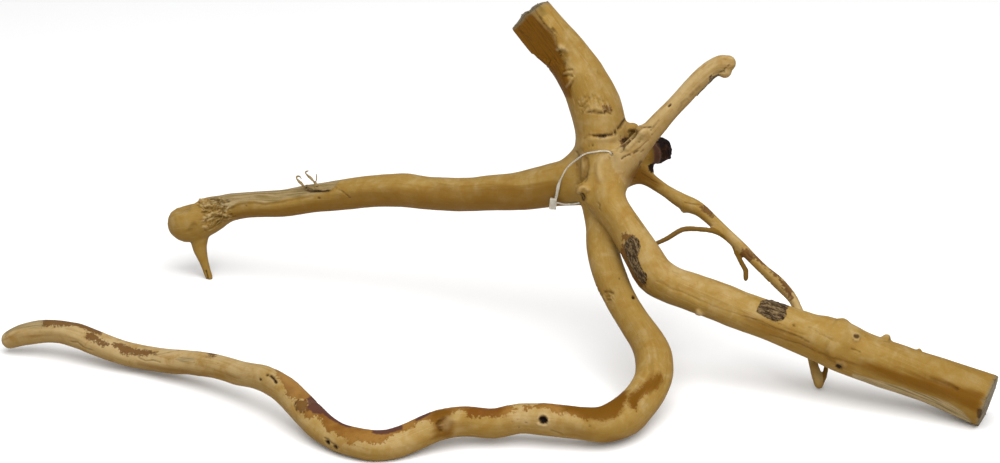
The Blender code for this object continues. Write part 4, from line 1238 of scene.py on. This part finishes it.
def wanted_edges(surface, lines, patches):
    """The edge length in millimetres that the relief needs at each vertex."""
    wanted = np.full(len(surface.points), np.inf)
    for where, half_width, _, _, line in lines:
        chosen, places = surface.carried_by(where)
        close = near(places, line, half_width + BOX_MARGIN)
        distance = distance_to_line(places[close], line)
        edge = np.where(distance < half_width + BESIDE_MARK, EDGE_AT_MARKS, EDGE_AT_PATCHES)
        edge = np.maximum(edge, half_width * EDGE_PER_WIDTH)
        edge[distance > half_width + ROUND_MARK] = np.inf
        wanted[chosen[close]] = np.minimum(wanted[chosen[close]], edge)
    for kind, where, outline in patches:
        chosen, places = surface.carried_by(where)
        close = near(places, outline, BOX_MARGIN)
        inside = depth_inside(places[close], outline)
        edge = np.where(np.abs(inside) < ROUND_BORDER, EDGE_AT_PATCHES, np.inf)
        if kind in PATCH_HEIGHT:
            edge[inside > -ROUND_BORDER] = EDGE_AT_PATCHES
        if kind in FRAYED_SHARE:
            edge[inside > -ROUND_FRAYED] = EDGE_AT_MARKS
        wanted[chosen[close]] = np.minimum(wanted[chosen[close]], edge)
    return wanted


def vertex_arrays(mesh):
    """A mesh's vertex positions and normals."""
    points = np.empty(len(mesh.vertices) * 3, np.float32)
    mesh.vertices.foreach_get("co", points)
    normals = np.empty(len(mesh.vertices) * 3, np.float32)
    mesh.vertex_normals.foreach_get("vector", normals)
    return points.reshape(-1, 3).astype(float), normals.reshape(-1, 3).astype(float)


def split_edges(mesh, too_long):
    """Halves the edges of a bmesh that too_long picks, and leaves triangles only."""
    chosen = [edge for edge in mesh.edges if too_long(edge)]
    bmesh.ops.subdivide_edges(mesh, edges=chosen, cuts=1)
    bmesh.ops.triangulate(mesh, faces=[face for face in mesh.faces if len(face.verts) > 3])


def refine(obj, lines, patches):
    """Adds faces where marks and borders need them."""
    for _ in range(REFINE_PASSES):
        surface = Surface(*vertex_arrays(obj.data))
        wanted = wanted_edges(surface, lines, patches) * MM
        mesh = bmesh.new()
        mesh.from_mesh(obj.data)
        mesh.verts.index_update()

        def too_long(edge):
            a, b = edge.verts
            return edge.calc_length() > EDGE_EXCESS * min(wanted[a.index], wanted[b.index])

        split_edges(mesh, too_long)
        mesh.to_mesh(obj.data)
        mesh.free()
        obj.data.validate()


def saw_planes():
    """A point on each sawn or split face, and the way it faces."""
    right = place(*RIGHT_END[0])
    top = place(*UPPER_END[0])
    outward = (top - place(*UPPER_END[1])).normalized()
    facing = square_ways(outward, toward(*SPLIT_FACING))[1]
    return [(right, (right - place(*RIGHT_END[1])).normalized()), (top, outward),
            (top + facing * SPLIT_DEPTH * MM, facing)]


def refine_cuts(obj):
    """Gives the flat cut faces a mesh of their own, with sharp edges round them."""
    mesh = bmesh.new()
    mesh.from_mesh(obj.data)
    bmesh.ops.triangulate(mesh, faces=[face for face in mesh.faces if len(face.verts) > 3])
    for number, (point, way) in enumerate(saw_planes()):
        def on_cut(face):
            away = abs((face.calc_center_median() - point).dot(way))
            return face.normal.dot(way) > CUT_FACING and away < CUT_WITHIN

        for _ in range(CUT_REFINE_PASSES):
            inner = {edge for face in mesh.faces if on_cut(face) for edge in face.edges}
            split_edges(mesh, lambda edge: edge in inner and edge.calc_length() > EDGE_ON_CUTS * MM)
            mesh.normal_update()
        if number < SAWN_FACES:
            for edge in {edge for face in mesh.faces if on_cut(face) for edge in face.edges}:
                edge.smooth = all(on_cut(other) for other in edge.link_faces)
    mesh.to_mesh(obj.data)
    mesh.free()
    obj.data.validate()


def soften_split(obj):
    """Rounds off the step where the split face ends."""
    top, outward = saw_planes()[1]
    facing = saw_planes()[2][1]
    away = np.array([v.co for v in obj.data.vertices]) - np.array(top)
    past_end = np.abs(-away @ np.array(outward) / MM - SPLIT_LENGTH)
    near_axis = np.linalg.norm(away, axis=1) < CUTTER * MM
    weights = np.clip(1 - past_end / SPLIT_FADE, 0, 1) * (away @ np.array(facing) > 0) * near_axis
    relax(obj.data, SPLIT_PASSES, FILLET_SHARE * weights[:, None])


def noise_at(places, size, offset=0):
    """Smooth noise between about -1 and 1 at each row of places, with features of that size."""
    scaled = places / size + offset
    return np.array([noise.noise(Vector(row)) for row in scaled])


def smooth_step(values):
    inside = np.clip(values, 0, 1)
    return inside * inside * (3 - 2 * inside)


def lines_relief(surface, lines):
    """Height in millimetres, and darkness and paleness from 0 to 1, that the line marks give each vertex.

    The darkness is partly painted shade in grooves and holes, the paleness partly painted highlight on
    ridges.
    """
    height, dark, pale = np.zeros((3, len(surface.points)))
    for where, half_width, rise, shade, line in lines:
        chosen, places = surface.carried_by(where)
        close = near(places, line, half_width * 2)
        places, chosen = places[close], chosen[close]
        if not len(chosen):
            continue
        where_on = surface.points[chosen] / MM
        ragged = RAGGED_BY * noise_at(where_on, RAGGED_SIZE)
        distance = distance_to_line(places, line) + ragged * min(half_width, 1)
        profile = smooth_step(1 - distance / (half_width * LINE_REACH))
        height[chosen] += rise * profile
        if shade > 0:
            uneven = 1
            if shade <= SOLID_SHADE:
                uneven = np.clip(0.8 + 0.7 * noise_at(where_on, SHADE_SIZE, 5), SHADE_LEAST, 1)
            reach = SHADE_REACH * half_width
            shaded = shade * uneven * smooth_step((reach - distance) / min(reach, SHADE_FADE))
            dark[chosen] = np.maximum(dark[chosen], shaded)
        else:
            pale[chosen] = np.maximum(pale[chosen], -shade * profile)
    return height, dark, pale


def patches_relief(surface, patches):
    """Height in millimetres, and the masks of the patches: 0.5 on a border, up to 1 inside and 0 outside."""
    height = np.zeros(len(surface.points))
    masks = {kind: np.zeros(len(surface.points)) for kind in PATCH_SETS}
    for kind, where, outline in patches:
        chosen, places = surface.carried_by(where)
        close = near(places, outline, 2 * PATCH_BORDER[kind])
        places, chosen = places[close], chosen[close]
        inside = depth_inside(places, outline)
        mask = np.clip(0.5 + inside / (2 * PATCH_BORDER[kind]), 0, 1)
        masks[kind][chosen] = np.maximum(masks[kind][chosen], mask)
        if kind in PATCH_HEIGHT and len(chosen):
            where_on = surface.points[chosen] / MM
            rough = PATCH_ROUGHNESS[kind] * (noise_at(where_on, 2.2) + 0.6 * noise_at(where_on, 0.9, 7))
            height[chosen] += smooth_step(inside / 0.9 + 0.4) * (PATCH_HEIGHT[kind] + rough)
    return height, masks


def crumbled_relief(surface, patches):
    """Fibrous relief for the frayed and crumbled places, with painted shade in its gaps and painted highlight
    on its raised strands.
    """
    height, dark, pale = np.zeros((3, len(surface.points)))
    for kind, where, outline in patches:
        if kind not in FRAYED_SHARE:
            continue
        chosen, places = surface.carried_by(where)
        close = near(places, outline, 1)
        places, chosen = places[close], chosen[close]
        share = FRAYED_SHARE[kind] * smooth_step(depth_inside(places, outline) / 2 + 0.3)
        stretched = np.stack([places[:, 0] / FIBRE_SIZES[0], places[:, 1] / FIBRE_SIZES[1],
                              surface.points[chosen, 1] / MM / FIBRE_SIZES[0]], axis=1)
        strands = noise_at(stretched, 1) + 0.5 * noise_at(surface.points[chosen] / MM, 1.1, 3)
        height[chosen] += share * CRUMBLED_HEIGHT * strands
        dark[chosen] = np.maximum(dark[chosen], share * 0.45 * smooth_step((-strands - 0.12) / 0.4))
        pale[chosen] = np.maximum(pale[chosen], share * 0.45 * smooth_step((strands - 0.05) / 0.4))
    return height, dark, pale


def edge_wear(mesh, points):
    """How far the sawn ends' sharp edges are worn down, in millimetres, and how grey the wood is by them."""
    rim = {v for edge in mesh.edges if edge.use_edge_sharp for v in edge.vertices}
    tree = kdtree.KDTree(len(rim))
    for i in rim:
        tree.insert(points[i], i)
    tree.balance()
    height, worn = np.zeros((2, len(points)))
    for centre in (place(*RIGHT_END[0]), place(*UPPER_END[0])):
        for i in np.flatnonzero(np.linalg.norm(points - np.array(centre), axis=1) < CUTTER / 2 * MM):
            away = tree.find(points[i])[2] / MM
            height[i] = -WEAR_DEPTH * max(1 - away / WEAR_WIDTH, 0) ** 2
            worn[i] = max(1 - away / GREY_RIM_WIDTH, 0)
    return height * (0.8 + 0.5 * noise_at(points / MM, 4, 11)), worn


def break_upper_end(points):
    """Gives the upper end the uneven outline that it has in the photograph."""
    top = np.array(place(*UPPER_END[0]))
    outward = np.array((place(*UPPER_END[0]) - place(*UPPER_END[1])).normalized())
    across = (points - top) @ np.array(toward(*UPPER_END_WAY, 0)) / MM
    depth = -((points - top) @ outward) / MM
    close = (depth < UPPER_END_DEPTH) & (np.linalg.norm(points - top, axis=1) < CUTTER / 2 * MM)
    rise = np.interp(0.5 + across / UPPER_END_WIDTH, *zip(*UPPER_END_PROFILE))
    share = np.where(close, smooth_step(1 - depth / UPPER_END_DEPTH), 0)
    return points + (rise * share * MM)[:, None] * outward


def body_relief(surface):
    """Swellings and ridges of the bare wood, in millimetres."""
    grain = surface.grain()
    points = surface.points / MM
    height = sum(rise * noise_at(points, size, 3 * size) for rise, size in LUMPS)
    ridges = noise_at(grain / np.array((GRAIN_SIZES[0], GRAIN_SIZES[1], GRAIN_SIZES[1])), 1)
    return height + GRAIN_HEIGHT * ridges * seam_clearance(surface)


def seam_clearance(surface):
    """1 well inside a limb and 0 where another limb's map begins, so that grain can fade out there."""
    return smooth_step((surface.runner_up - surface.nearness - 0.12) / 0.5)


def on_cuts(points):
    """Which vertices lie on a sawn or split face."""
    found = np.zeros(len(points), bool)
    for point, way in saw_planes():
        away = (points - np.array(point)) @ np.array(way)
        across = np.linalg.norm(points - np.array(point), axis=1)
        found |= (np.abs(away) < CUT_WITHIN) & (across < CUTTER * MM)
    return found


def write_attribute(mesh, name, kind, values):
    layer = mesh.attributes.new(name, kind, "POINT")
    layer.data.foreach_set("vector" if kind == "FLOAT_VECTOR" else "value", values.astype(np.float32).ravel())


def mark_cut_faces(mesh):
    """A mask on the corners of the cut faces, so that the end grain stops sharply at their edges."""
    layer = mesh.attributes.new("cut", "FLOAT", "CORNER")
    planes = saw_planes()[:SAWN_FACES]
    values = np.zeros(len(mesh.loops), np.float32)
    for face in mesh.polygons:
        for point, way in planes:
            if face.normal.dot(way) > SAWN_FACING and abs((face.center - point).dot(way)) < SAWN_WITHIN:
                values[face.loop_start:face.loop_start + face.loop_total] = 1
    layer.data.foreach_set("value", values)


def work_surface(obj, lines, patches):
    """Moves the vertices for the relief and writes the masks that the wood's material reads."""
    mark_cut_faces(obj.data)
    points, normals = vertex_arrays(obj.data)
    surface = Surface(points, normals)
    flat = on_cuts(points)
    line_height, dark, pale = lines_relief(surface, lines)
    patch_height, masks = patches_relief(surface, patches)
    strands, gaps, tufts = crumbled_relief(surface, patches)
    dark, pale = np.maximum(dark, gaps), np.maximum(pale, tufts)
    height = line_height + patch_height + strands + body_relief(surface)
    height[flat] = -END_RELIEF * np.abs(noise_at(points[flat] / MM, 2.5))
    wear, worn = edge_wear(obj.data, points)
    height += wear
    write_attribute(obj.data, "worn", "FLOAT", worn)
    moved = break_upper_end(points + normals * height[:, None] * MM)
    moved[:, 2] = np.maximum(moved[:, 2], 0)
    obj.data.vertices.foreach_set("co", moved.astype(np.float32).ravel())
    obj.data.update()
    write_attribute(obj.data, "grain", "FLOAT_VECTOR", surface.grain())
    write_attribute(obj.data, "clear", "FLOAT", seam_clearance(surface))
    # The dark mask: the real dark of cracks, pits and stains with painted shade in grooves, holes and gaps.
    # The pale mask: paler wood with painted highlights on ridges and raised strands.
    write_attribute(obj.data, "dark", "FLOAT", dark)
    write_attribute(obj.data, "pale", "FLOAT", pale)
    write_attribute(obj.data, "tone", "FLOAT", tone(surface))
    for kind, mask in masks.items():
        if kind in PATCH_LOOKS:
            write_attribute(obj.data, kind, "FLOAT", mask)


def tone(surface):
    """The tone of each vertex, from TONES."""
    values = np.full(len(surface.points), PLAIN_TONE)
    for name, stops in TONES.items():
        mine = surface.limb == MAPPED.index(name)
        values[mine] = np.interp(surface.along[mine], [s[0] for s in stops], [s[1] for s in stops])
    return values


class Nodes:
    """Short ways to add and link shader nodes."""

    def __init__(self, name):
        self.material = bpy.data.materials.new(name)
        self.material.use_nodes = True
        self.tree = self.material.node_tree
        self.surface = self.tree.nodes["Principled BSDF"]

    def give(self, socket, value):
        if isinstance(value, bpy.types.NodeSocket):
            self.tree.links.new(value, socket)
        elif socket.type == "RGBA":
            socket.default_value = (*linear(value), 1)
        else:
            socket.default_value = value

    def add(self, kind, inputs=(), **settings):
        node = self.tree.nodes.new(kind)
        for key, value in settings.items():
            setattr(node, key, value)
        for key, value in dict(inputs).items():
            self.give(node.inputs[key], value)
        return node

    def attribute(self, name, output="Fac"):
        return self.add("ShaderNodeAttribute", attribute_name=name).outputs[output]

    def math(self, operation, *values, clamp=False):
        return self.add("ShaderNodeMath", enumerate(values), operation=operation, use_clamp=clamp).outputs[0]

    def stretched(self, vector, factors):
        node = self.add("ShaderNodeVectorMath", {0: vector, 1: factors}, operation="MULTIPLY")
        return node.outputs[0]

    def noise(self, vector, scale, detail=4.0, roughness=0.55, distortion=0.0):
        inputs = {"Vector": vector, "Scale": scale, "Detail": detail, "Roughness": roughness,
                  "Distortion": distortion}
        return self.add("ShaderNodeTexNoise", inputs).outputs["Fac"]

    def ramp(self, value, low, high):
        """0 below low, 1 above high, and smooth between them."""
        inputs = {"Value": value, "From Min": low, "From Max": high}
        return self.add("ShaderNodeMapRange", inputs, interpolation_type="SMOOTHSTEP").outputs[0]

    def mix(self, share, a, b):
        return self.add("ShaderNodeMix", {0: share, 6: a, 7: b}, data_type="RGBA").outputs[2]

    def laid_over(self, under, over, mask, share=1.0):
        """A colour with another one laid over it where the mask says, and at most by share."""
        return self.mix(self.math("MULTIPLY", mask, share), under, over)

    def layered(self, under, layers, values):
        """A colour with rows of layers laid over it, where values holds what lays them on."""
        for name, low, high, share, over in layers:
            under = self.laid_over(under, over, self.ramp(values[name], low, high), share)
        return under

    def moved(self, value, by, share):
        """A value moved up and down by share of a noise, which lies round a half."""
        return self.math("ADD", value, self.math("MULTIPLY", self.math("SUBTRACT", by, 0.5), share))

    def scaled(self, value, base, share):
        return self.math("ADD", base, self.math("MULTIPLY", value, share))

    def millimetres(self):
        """Places on the object, in millimetres."""
        return self.stretched(self.add("ShaderNodeTexCoord").outputs["Object"], (1 / MM, 1 / MM, 1 / MM))

    def bump(self, height, distance, strength, below=None):
        inputs = {"Height": height, "Distance": distance, "Strength": strength}
        if below is not None:
            inputs["Normal"] = below
        return self.add("ShaderNodeBump", inputs).outputs[0]

    def finish(self, colour, roughness, normal):
        self.give(self.surface.inputs["Base Color"], colour)
        self.give(self.surface.inputs["Roughness"], roughness)
        self.give(self.surface.inputs["Normal"], normal)
        return self.material


def linear(screen_colour):
    """A colour read as 0 to 255 on a screen, as the shader takes it."""
    return tuple((c / 255 / 12.92) if c < 11 else ((c / 255 + 0.055) / 1.055) ** 2.4 for c in screen_colour)


def patch_masks(nodes, name, values):
    """Where a kind of patch lies, its border broken up by noise, and the strip just inside the border, where
    a painted shadow of the edge can go.
    """
    fraying, fray, low, high, full = PATCH_LOOKS[name][:5]
    mask = nodes.attribute(name)
    frayed = nodes.moved(mask, values[fraying], fray)
    inside = nodes.math("MULTIPLY", nodes.ramp(frayed, low, high), nodes.ramp(mask, MASK_START, full))
    rim = nodes.math("SUBTRACT", nodes.ramp(frayed, *RIM_SHADOW_OUTER), nodes.ramp(frayed, *RIM_SHADOW_INNER), clamp=True)
    return inside, rim


def wood_values(nodes):
    """The noises and masks that the wood's layers follow. Grain fades out between two limbs' maps."""
    where, grain, clear = nodes.millimetres(), nodes.attribute("grain", "Vector"), nodes.attribute("clear")
    values = {name: nodes.noise(nodes.stretched(grain, stretch), 1, *look)
              for name, (stretch, *look) in GRAIN_NOISES.items()}
    values.update({name: nodes.noise(where, *look) for name, look in SPACE_NOISES.items()})
    values["tone"] = nodes.attribute("tone")
    values["torn"] = nodes.moved(values["fine"], values["mottle"], TORN_MOTTLE)
    values["faded"] = nodes.mix(clear, values["mottle"], values["fibre"])
    values["broad"] = nodes.mix(clear, values["blotch"], values["broad"])
    return values


def bare_wood(nodes, values):
    """The colour of the bare wood, with painted shade that deepens it where it faces down."""
    tone_value = nodes.moved(values["tone"], values["blotch"], TONE_BLOTCHES)
    wood = nodes.mix(nodes.ramp(tone_value, *PALE_WOOD_FROM), MIDDLE_WOOD, PALE_WOOD)
    wood = nodes.layered(wood, BARE_LAYERS, values)
    # Painted shade: the wood deepens where its surface faces down.
    facing = nodes.add("ShaderNodeNewGeometry").outputs["Normal"]
    facing_up = nodes.add("ShaderNodeSeparateXYZ", {0: facing}).outputs["Z"]
    top_light = nodes.ramp(nodes.scaled(values["blotch"], facing_up, TOP_LIGHT_BLOTCHES), *TOP_LIGHT_RAMP)
    wood = nodes.mix(top_light, nodes.mix(UNDERSIDE_SHADE_SHARE, wood, DEEP_WOOD_AND_UNDERSIDE_SHADE), wood)
    return nodes.layered(wood, STREAK_LAYERS, values)


def wood_material():
    """Weathered root wood: streaks along each limb, stains, bark, inner bark and sawn faces, with painted
    shade on undersides, in grooves and holes and on shaded patches, and painted highlights on ridges.
    """
    nodes = Nodes("driftwood_wood")
    values = wood_values(nodes)
    wood = bare_wood(nodes, values)
    masks = {}
    # Facet, shaded, and the crotch and limb band among golden lay on painted shade.
    for name, look in PATCH_LOOKS.items():
        share, tint, layers, rim_shadow_look = look[5:]
        masks[name], rim = patch_masks(nodes, name, values)
        tint = nodes.layered(tint, layers, values)
        # The rim just inside a patch's edge takes a painted shadow of that edge.
        if rim_shadow_look:
            rim_shadow_share, rim_shadow_tint = rim_shadow_look
            tint = nodes.laid_over(tint, rim_shadow_tint, rim, rim_shadow_share)
        wood = nodes.laid_over(wood, tint, masks[name], share)
    end_grain = nodes.mix(nodes.ramp(values["end_grain"], *CUT_MOTTLE), CUT_WOOD, CUT_DARK)
    wood = nodes.mix(nodes.attribute("cut"), wood, end_grain)
    # Paler wood and painted highlights where the pale mask lies.
    wood = nodes.mix(nodes.attribute("pale"), wood, BLEACHED_AND_HIGHLIGHT)
    wood = nodes.layered(wood, LAST_LAYERS, values)
    # Real dark marks and painted shade in grooves where the dark mask lies, and painted near black shadow in
    # deep cracks and holes.
    dark = nodes.attribute("dark")
    shade = nodes.math("MULTIPLY", dark, nodes.scaled(values["mottle"], DARK_BASE, DARK_MOTTLE), clamp=True)
    wood = nodes.mix(shade, wood, DARK_MARK_AND_SHADE)
    wood = nodes.mix(nodes.ramp(dark, *CRACK_AND_HOLE_SHADOW_FROM), wood, CRACK_AND_HOLE_SHADOW)

    barked = nodes.math("MAXIMUM", masks["charred"], masks["bark"])
    values["bark_relief"] = nodes.math("MULTIPLY", barked, values["rough"])
    normal = None
    for name, distance, strength in BUMPS:
        normal = nodes.bump(values[name], distance, strength, normal)
    nodes.surface.inputs["Specular IOR Level"].default_value = WOOD_SPECULAR
    return nodes.finish(wood, nodes.scaled(values["faded"], *WOOD_ROUGHNESS), normal)


def nylon_material():
    """Milky nylon, clear enough to glow a little where it is thin."""
    nodes = Nodes("loop_nylon")
    where = nodes.millimetres()
    cloud = nodes.noise(where, 0.4, 3)
    tint = nodes.mix(nodes.ramp(cloud, *NYLON_CLOUDS), NYLON_DARK, NYLON_LIGHT)
    for name, value in NYLON.items():
        nodes.surface.inputs[name].default_value = value
    bump = nodes.bump(nodes.noise(where, 2.5, 3), *NYLON_BUMP)
    return nodes.finish(tint, nodes.scaled(cloud, *NYLON_ROUGHNESS), bump)


def dress(obj, node, material):
    """Lets a piece stand for a CAD node and ride with it."""
    obj.data.materials.clear()
    obj.data.materials.append(material)
    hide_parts(node)
    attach(obj, "root")


def make_fine_wood():
    """The wood's skin with its cuts, faces where the marks are, and the relief."""
    body = make_limbs()
    saw_off(body, *RIGHT_END)
    saw_off(body, *UPPER_END)
    split_off_strip(body)
    combine(body, loop_hole(), "DIFFERENCE")
    stand_flat(body)
    body.data.shade_smooth()
    refine_cuts(body)
    soften_split(body)
    lines, patches = all_lines(), all_patches()
    refine(body, lines, patches)
    work_surface(body, lines, patches)
    return body


def finish_strips(mesh, name, greyness, paleness):
    """Turns a bmesh of thin strips into a piece of the wood, with one greyness and paleness all over."""
    piece = add_object(name, mesh)
    piece.data.shade_smooth()
    points = vertex_arrays(piece.data)[0]
    count = len(points)
    write_attribute(piece.data, "grain", "FLOAT_VECTOR", points[:, [0, 2, 1]] / MM)
    write_attribute(piece.data, "grey", "FLOAT", np.full(count, greyness))
    write_attribute(piece.data, "pale", "FLOAT", np.full(count, paleness))
    write_attribute(piece.data, "tone", "FLOAT", np.full(count, STRIP_TONE))
    return piece


def flattened(along, angles):
    """The outline of a torn strip: flat, with rough edges."""
    return 0.75 + 0.3 * np.cos(2 * angles + 900 * along) + 0.12 * np.sin(3 * angles + 2600 * along)


def prong_route(pixels, stations):
    """Centres along a prong, and its radius at each: first along the arm's surface, then through the air."""
    arm = LIMB_MAPS["left_arm"]
    lying = [arm.on_surface(along, across, LYING_LIFT) for along, across in mapped("left_arm", pixels)]
    corners = np.array(lying + [place(*station[:3]) for station in stations])
    thinnest, thickest = LYING_RADII
    thickest = min(thickest, stations[0][3] * LYING_EXCESS)
    radii = list(np.linspace(thinnest, thickest, len(lying))) + [station[3] for station in stations]
    lengths = np.append(0, np.cumsum(np.linalg.norm(np.diff(corners, axis=0), axis=1)))
    steps = np.linspace(0, lengths[-1], int(lengths[-1] / SPLINTER_STEP / MM))
    centres = np.stack([np.interp(steps, lengths, corners[:, k]) for k in range(3)], axis=1)
    for _ in range(3):
        centres[1:-1] = (centres[:-2] + 2 * centres[1:-1] + centres[2:]) / 4
    return centres, np.interp(steps, lengths, radii) * MM


def make_splinters():
    """The thin prongs that are split off the top of the left arm."""
    mesh = bmesh.new()
    for pixels, stations in (LONG_PRONG, SHORT_PRONG, THIN_PRONG):
        centres, radii = prong_route(pixels, stations)
        sweep(mesh, centres, radii, SPLINTER_SIDES, flattened)
    return finish_strips(mesh, "splinters", 0.6, 0.0)


def lay_fibre(mesh, limb, places, lift, radius):
    """A fibre along places of a limb's map that rises lift millimetres off the surface between its ends."""
    last = len(places) - 1
    centres = []
    for i, (along, round_from_front) in enumerate(places):
        rise = lift * math.sin(math.pi * min(i / last + 0.15, 1)) + 0.1
        centres.append(LIMB_MAPS[limb].on_surface(along, round_from_front, rise))
    centres = np.array(centres)
    radii = radius * MM * (1 - 0.7 * np.abs(np.linspace(-1, 1, len(centres))) ** 3)
    sweep(mesh, centres, radii, FIBRE_SIDES, flattened)


def make_fibres():
    """Torn fibres over the left arm's frayed end: the ones in the photograph, and seeded ones between."""
    mesh = bmesh.new()
    pick = random.Random(FIBRE_SEED)
    for pixels in FIBRES.values():
        route = mapped("left_arm", pixels)
        steps = np.linspace(0, len(route) - 1, 4 * len(route))
        places = np.stack([np.interp(steps, range(len(route)), route[:, k]) for k in (0, 1)], axis=1)
        lay_fibre(mesh, "left_arm", places, FIBRE_LIFT, FIBRE_RADIUS)
    outline = mapped("left_arm", CRUMBLED["frayed_end"][1])
    low, high = outline.min(axis=0), outline.max(axis=0)
    made = 0
    while made < FIBRE_COUNT:
        start = np.array([pick.uniform(low[0], high[0]), pick.uniform(low[1], high[1])])
        length, slope = pick.uniform(*FIBRE_LENGTHS), pick.uniform(*FIBRE_SLOPES)
        bend = pick.uniform(*FIBRE_BENDS)
        places = [start + (length * t, slope * length * t + bend * math.sin(3 * t))
                  for t in np.linspace(0, 1, FIBRE_STOPS)]
        if (depth_inside(np.array([start, places[-1]]), outline) > FIBRE_MARGIN).all():
            lay_fibre(mesh, "left_arm", places, pick.uniform(*FIBRE_LIFTS), pick.uniform(*FIBRE_RADII))
            made += 1
    return finish_strips(mesh, "frayed_fibres", 0.1, 0.08)


def make_floor():
    """A plain pale floor."""
    mesh = bmesh.new()
    bmesh.ops.create_grid(mesh, x_segments=1, y_segments=1, size=FLOOR_SIZE / 2)
    floor = add_object("floor", mesh)
    nodes = Nodes("floor_paint")
    where = nodes.add("ShaderNodeTexCoord").outputs["Object"]
    tint = nodes.mix(nodes.noise(where, 3), FLOOR_DARK, FLOOR_LIGHT)
    bump = nodes.bump(nodes.noise(where, 400), *FLOOR_BUMP)
    floor.data.materials.append(nodes.finish(tint, FLOOR_ROUGHNESS, bump))


def make_lamp(name, where, size, power):
    """A soft square lamp that points at the piece."""
    lamp = bpy.data.lights.new(name, "AREA")
    lamp.shape = "SQUARE"
    lamp.size = size
    lamp.energy = power
    obj = bpy.data.objects.new(name, lamp)
    bpy.context.scene.collection.objects.link(obj)
    obj.location = where
    aim = place(0, 0, 0) - Vector(where)
    obj.rotation_euler = aim.to_track_quat("-Z", "Y").to_euler()


def make_light():
    """A white studio: light from all round, and the lamps."""
    world = bpy.data.worlds.new("studio")
    world.use_nodes = True
    background = world.node_tree.nodes["Background"]
    background.inputs["Color"].default_value = (1, 1, 1, 1)
    background.inputs["Strength"].default_value = WORLD_STRENGTH
    bpy.context.scene.world = world
    for name, (where, size, power) in LAMPS.items():
        make_lamp(name, where, size, power)


def make_camera():
    """The photograph's view: 0.6 mm to a pixel in the upright picture plane through the crown."""
    data = bpy.data.cameras.new("camera")
    data.sensor_width = SENSOR
    data.lens = SENSOR * VIEW_DISTANCE / (IMAGE_WIDTH * PIXEL)
    camera = bpy.data.objects.new("camera", data)
    bpy.context.scene.collection.objects.link(camera)
    camera.location = place(0, 0, -VIEW_DISTANCE)
    camera.rotation_euler = (math.pi / 2 - VIEW_TILT, 0, 0)
    bpy.context.scene.camera = camera


def main():
    wood = wood_material()
    nylon = nylon_material()
    body = make_fine_wood()
    body.name = "wood_skin"
    dress(body, "driftwood", wood)
    dress(make_splinters(), "driftwood", wood)
    dress(make_fibres(), "driftwood", wood)
    loop = make_loop()
    loop.name = "loop_strand"
    loop.data.shade_smooth()
    dress(loop, "tag_loop", nylon)
    make_floor()
    make_light()
    make_camera()
    bpy.context.scene.view_settings.view_transform = "Standard"


main()
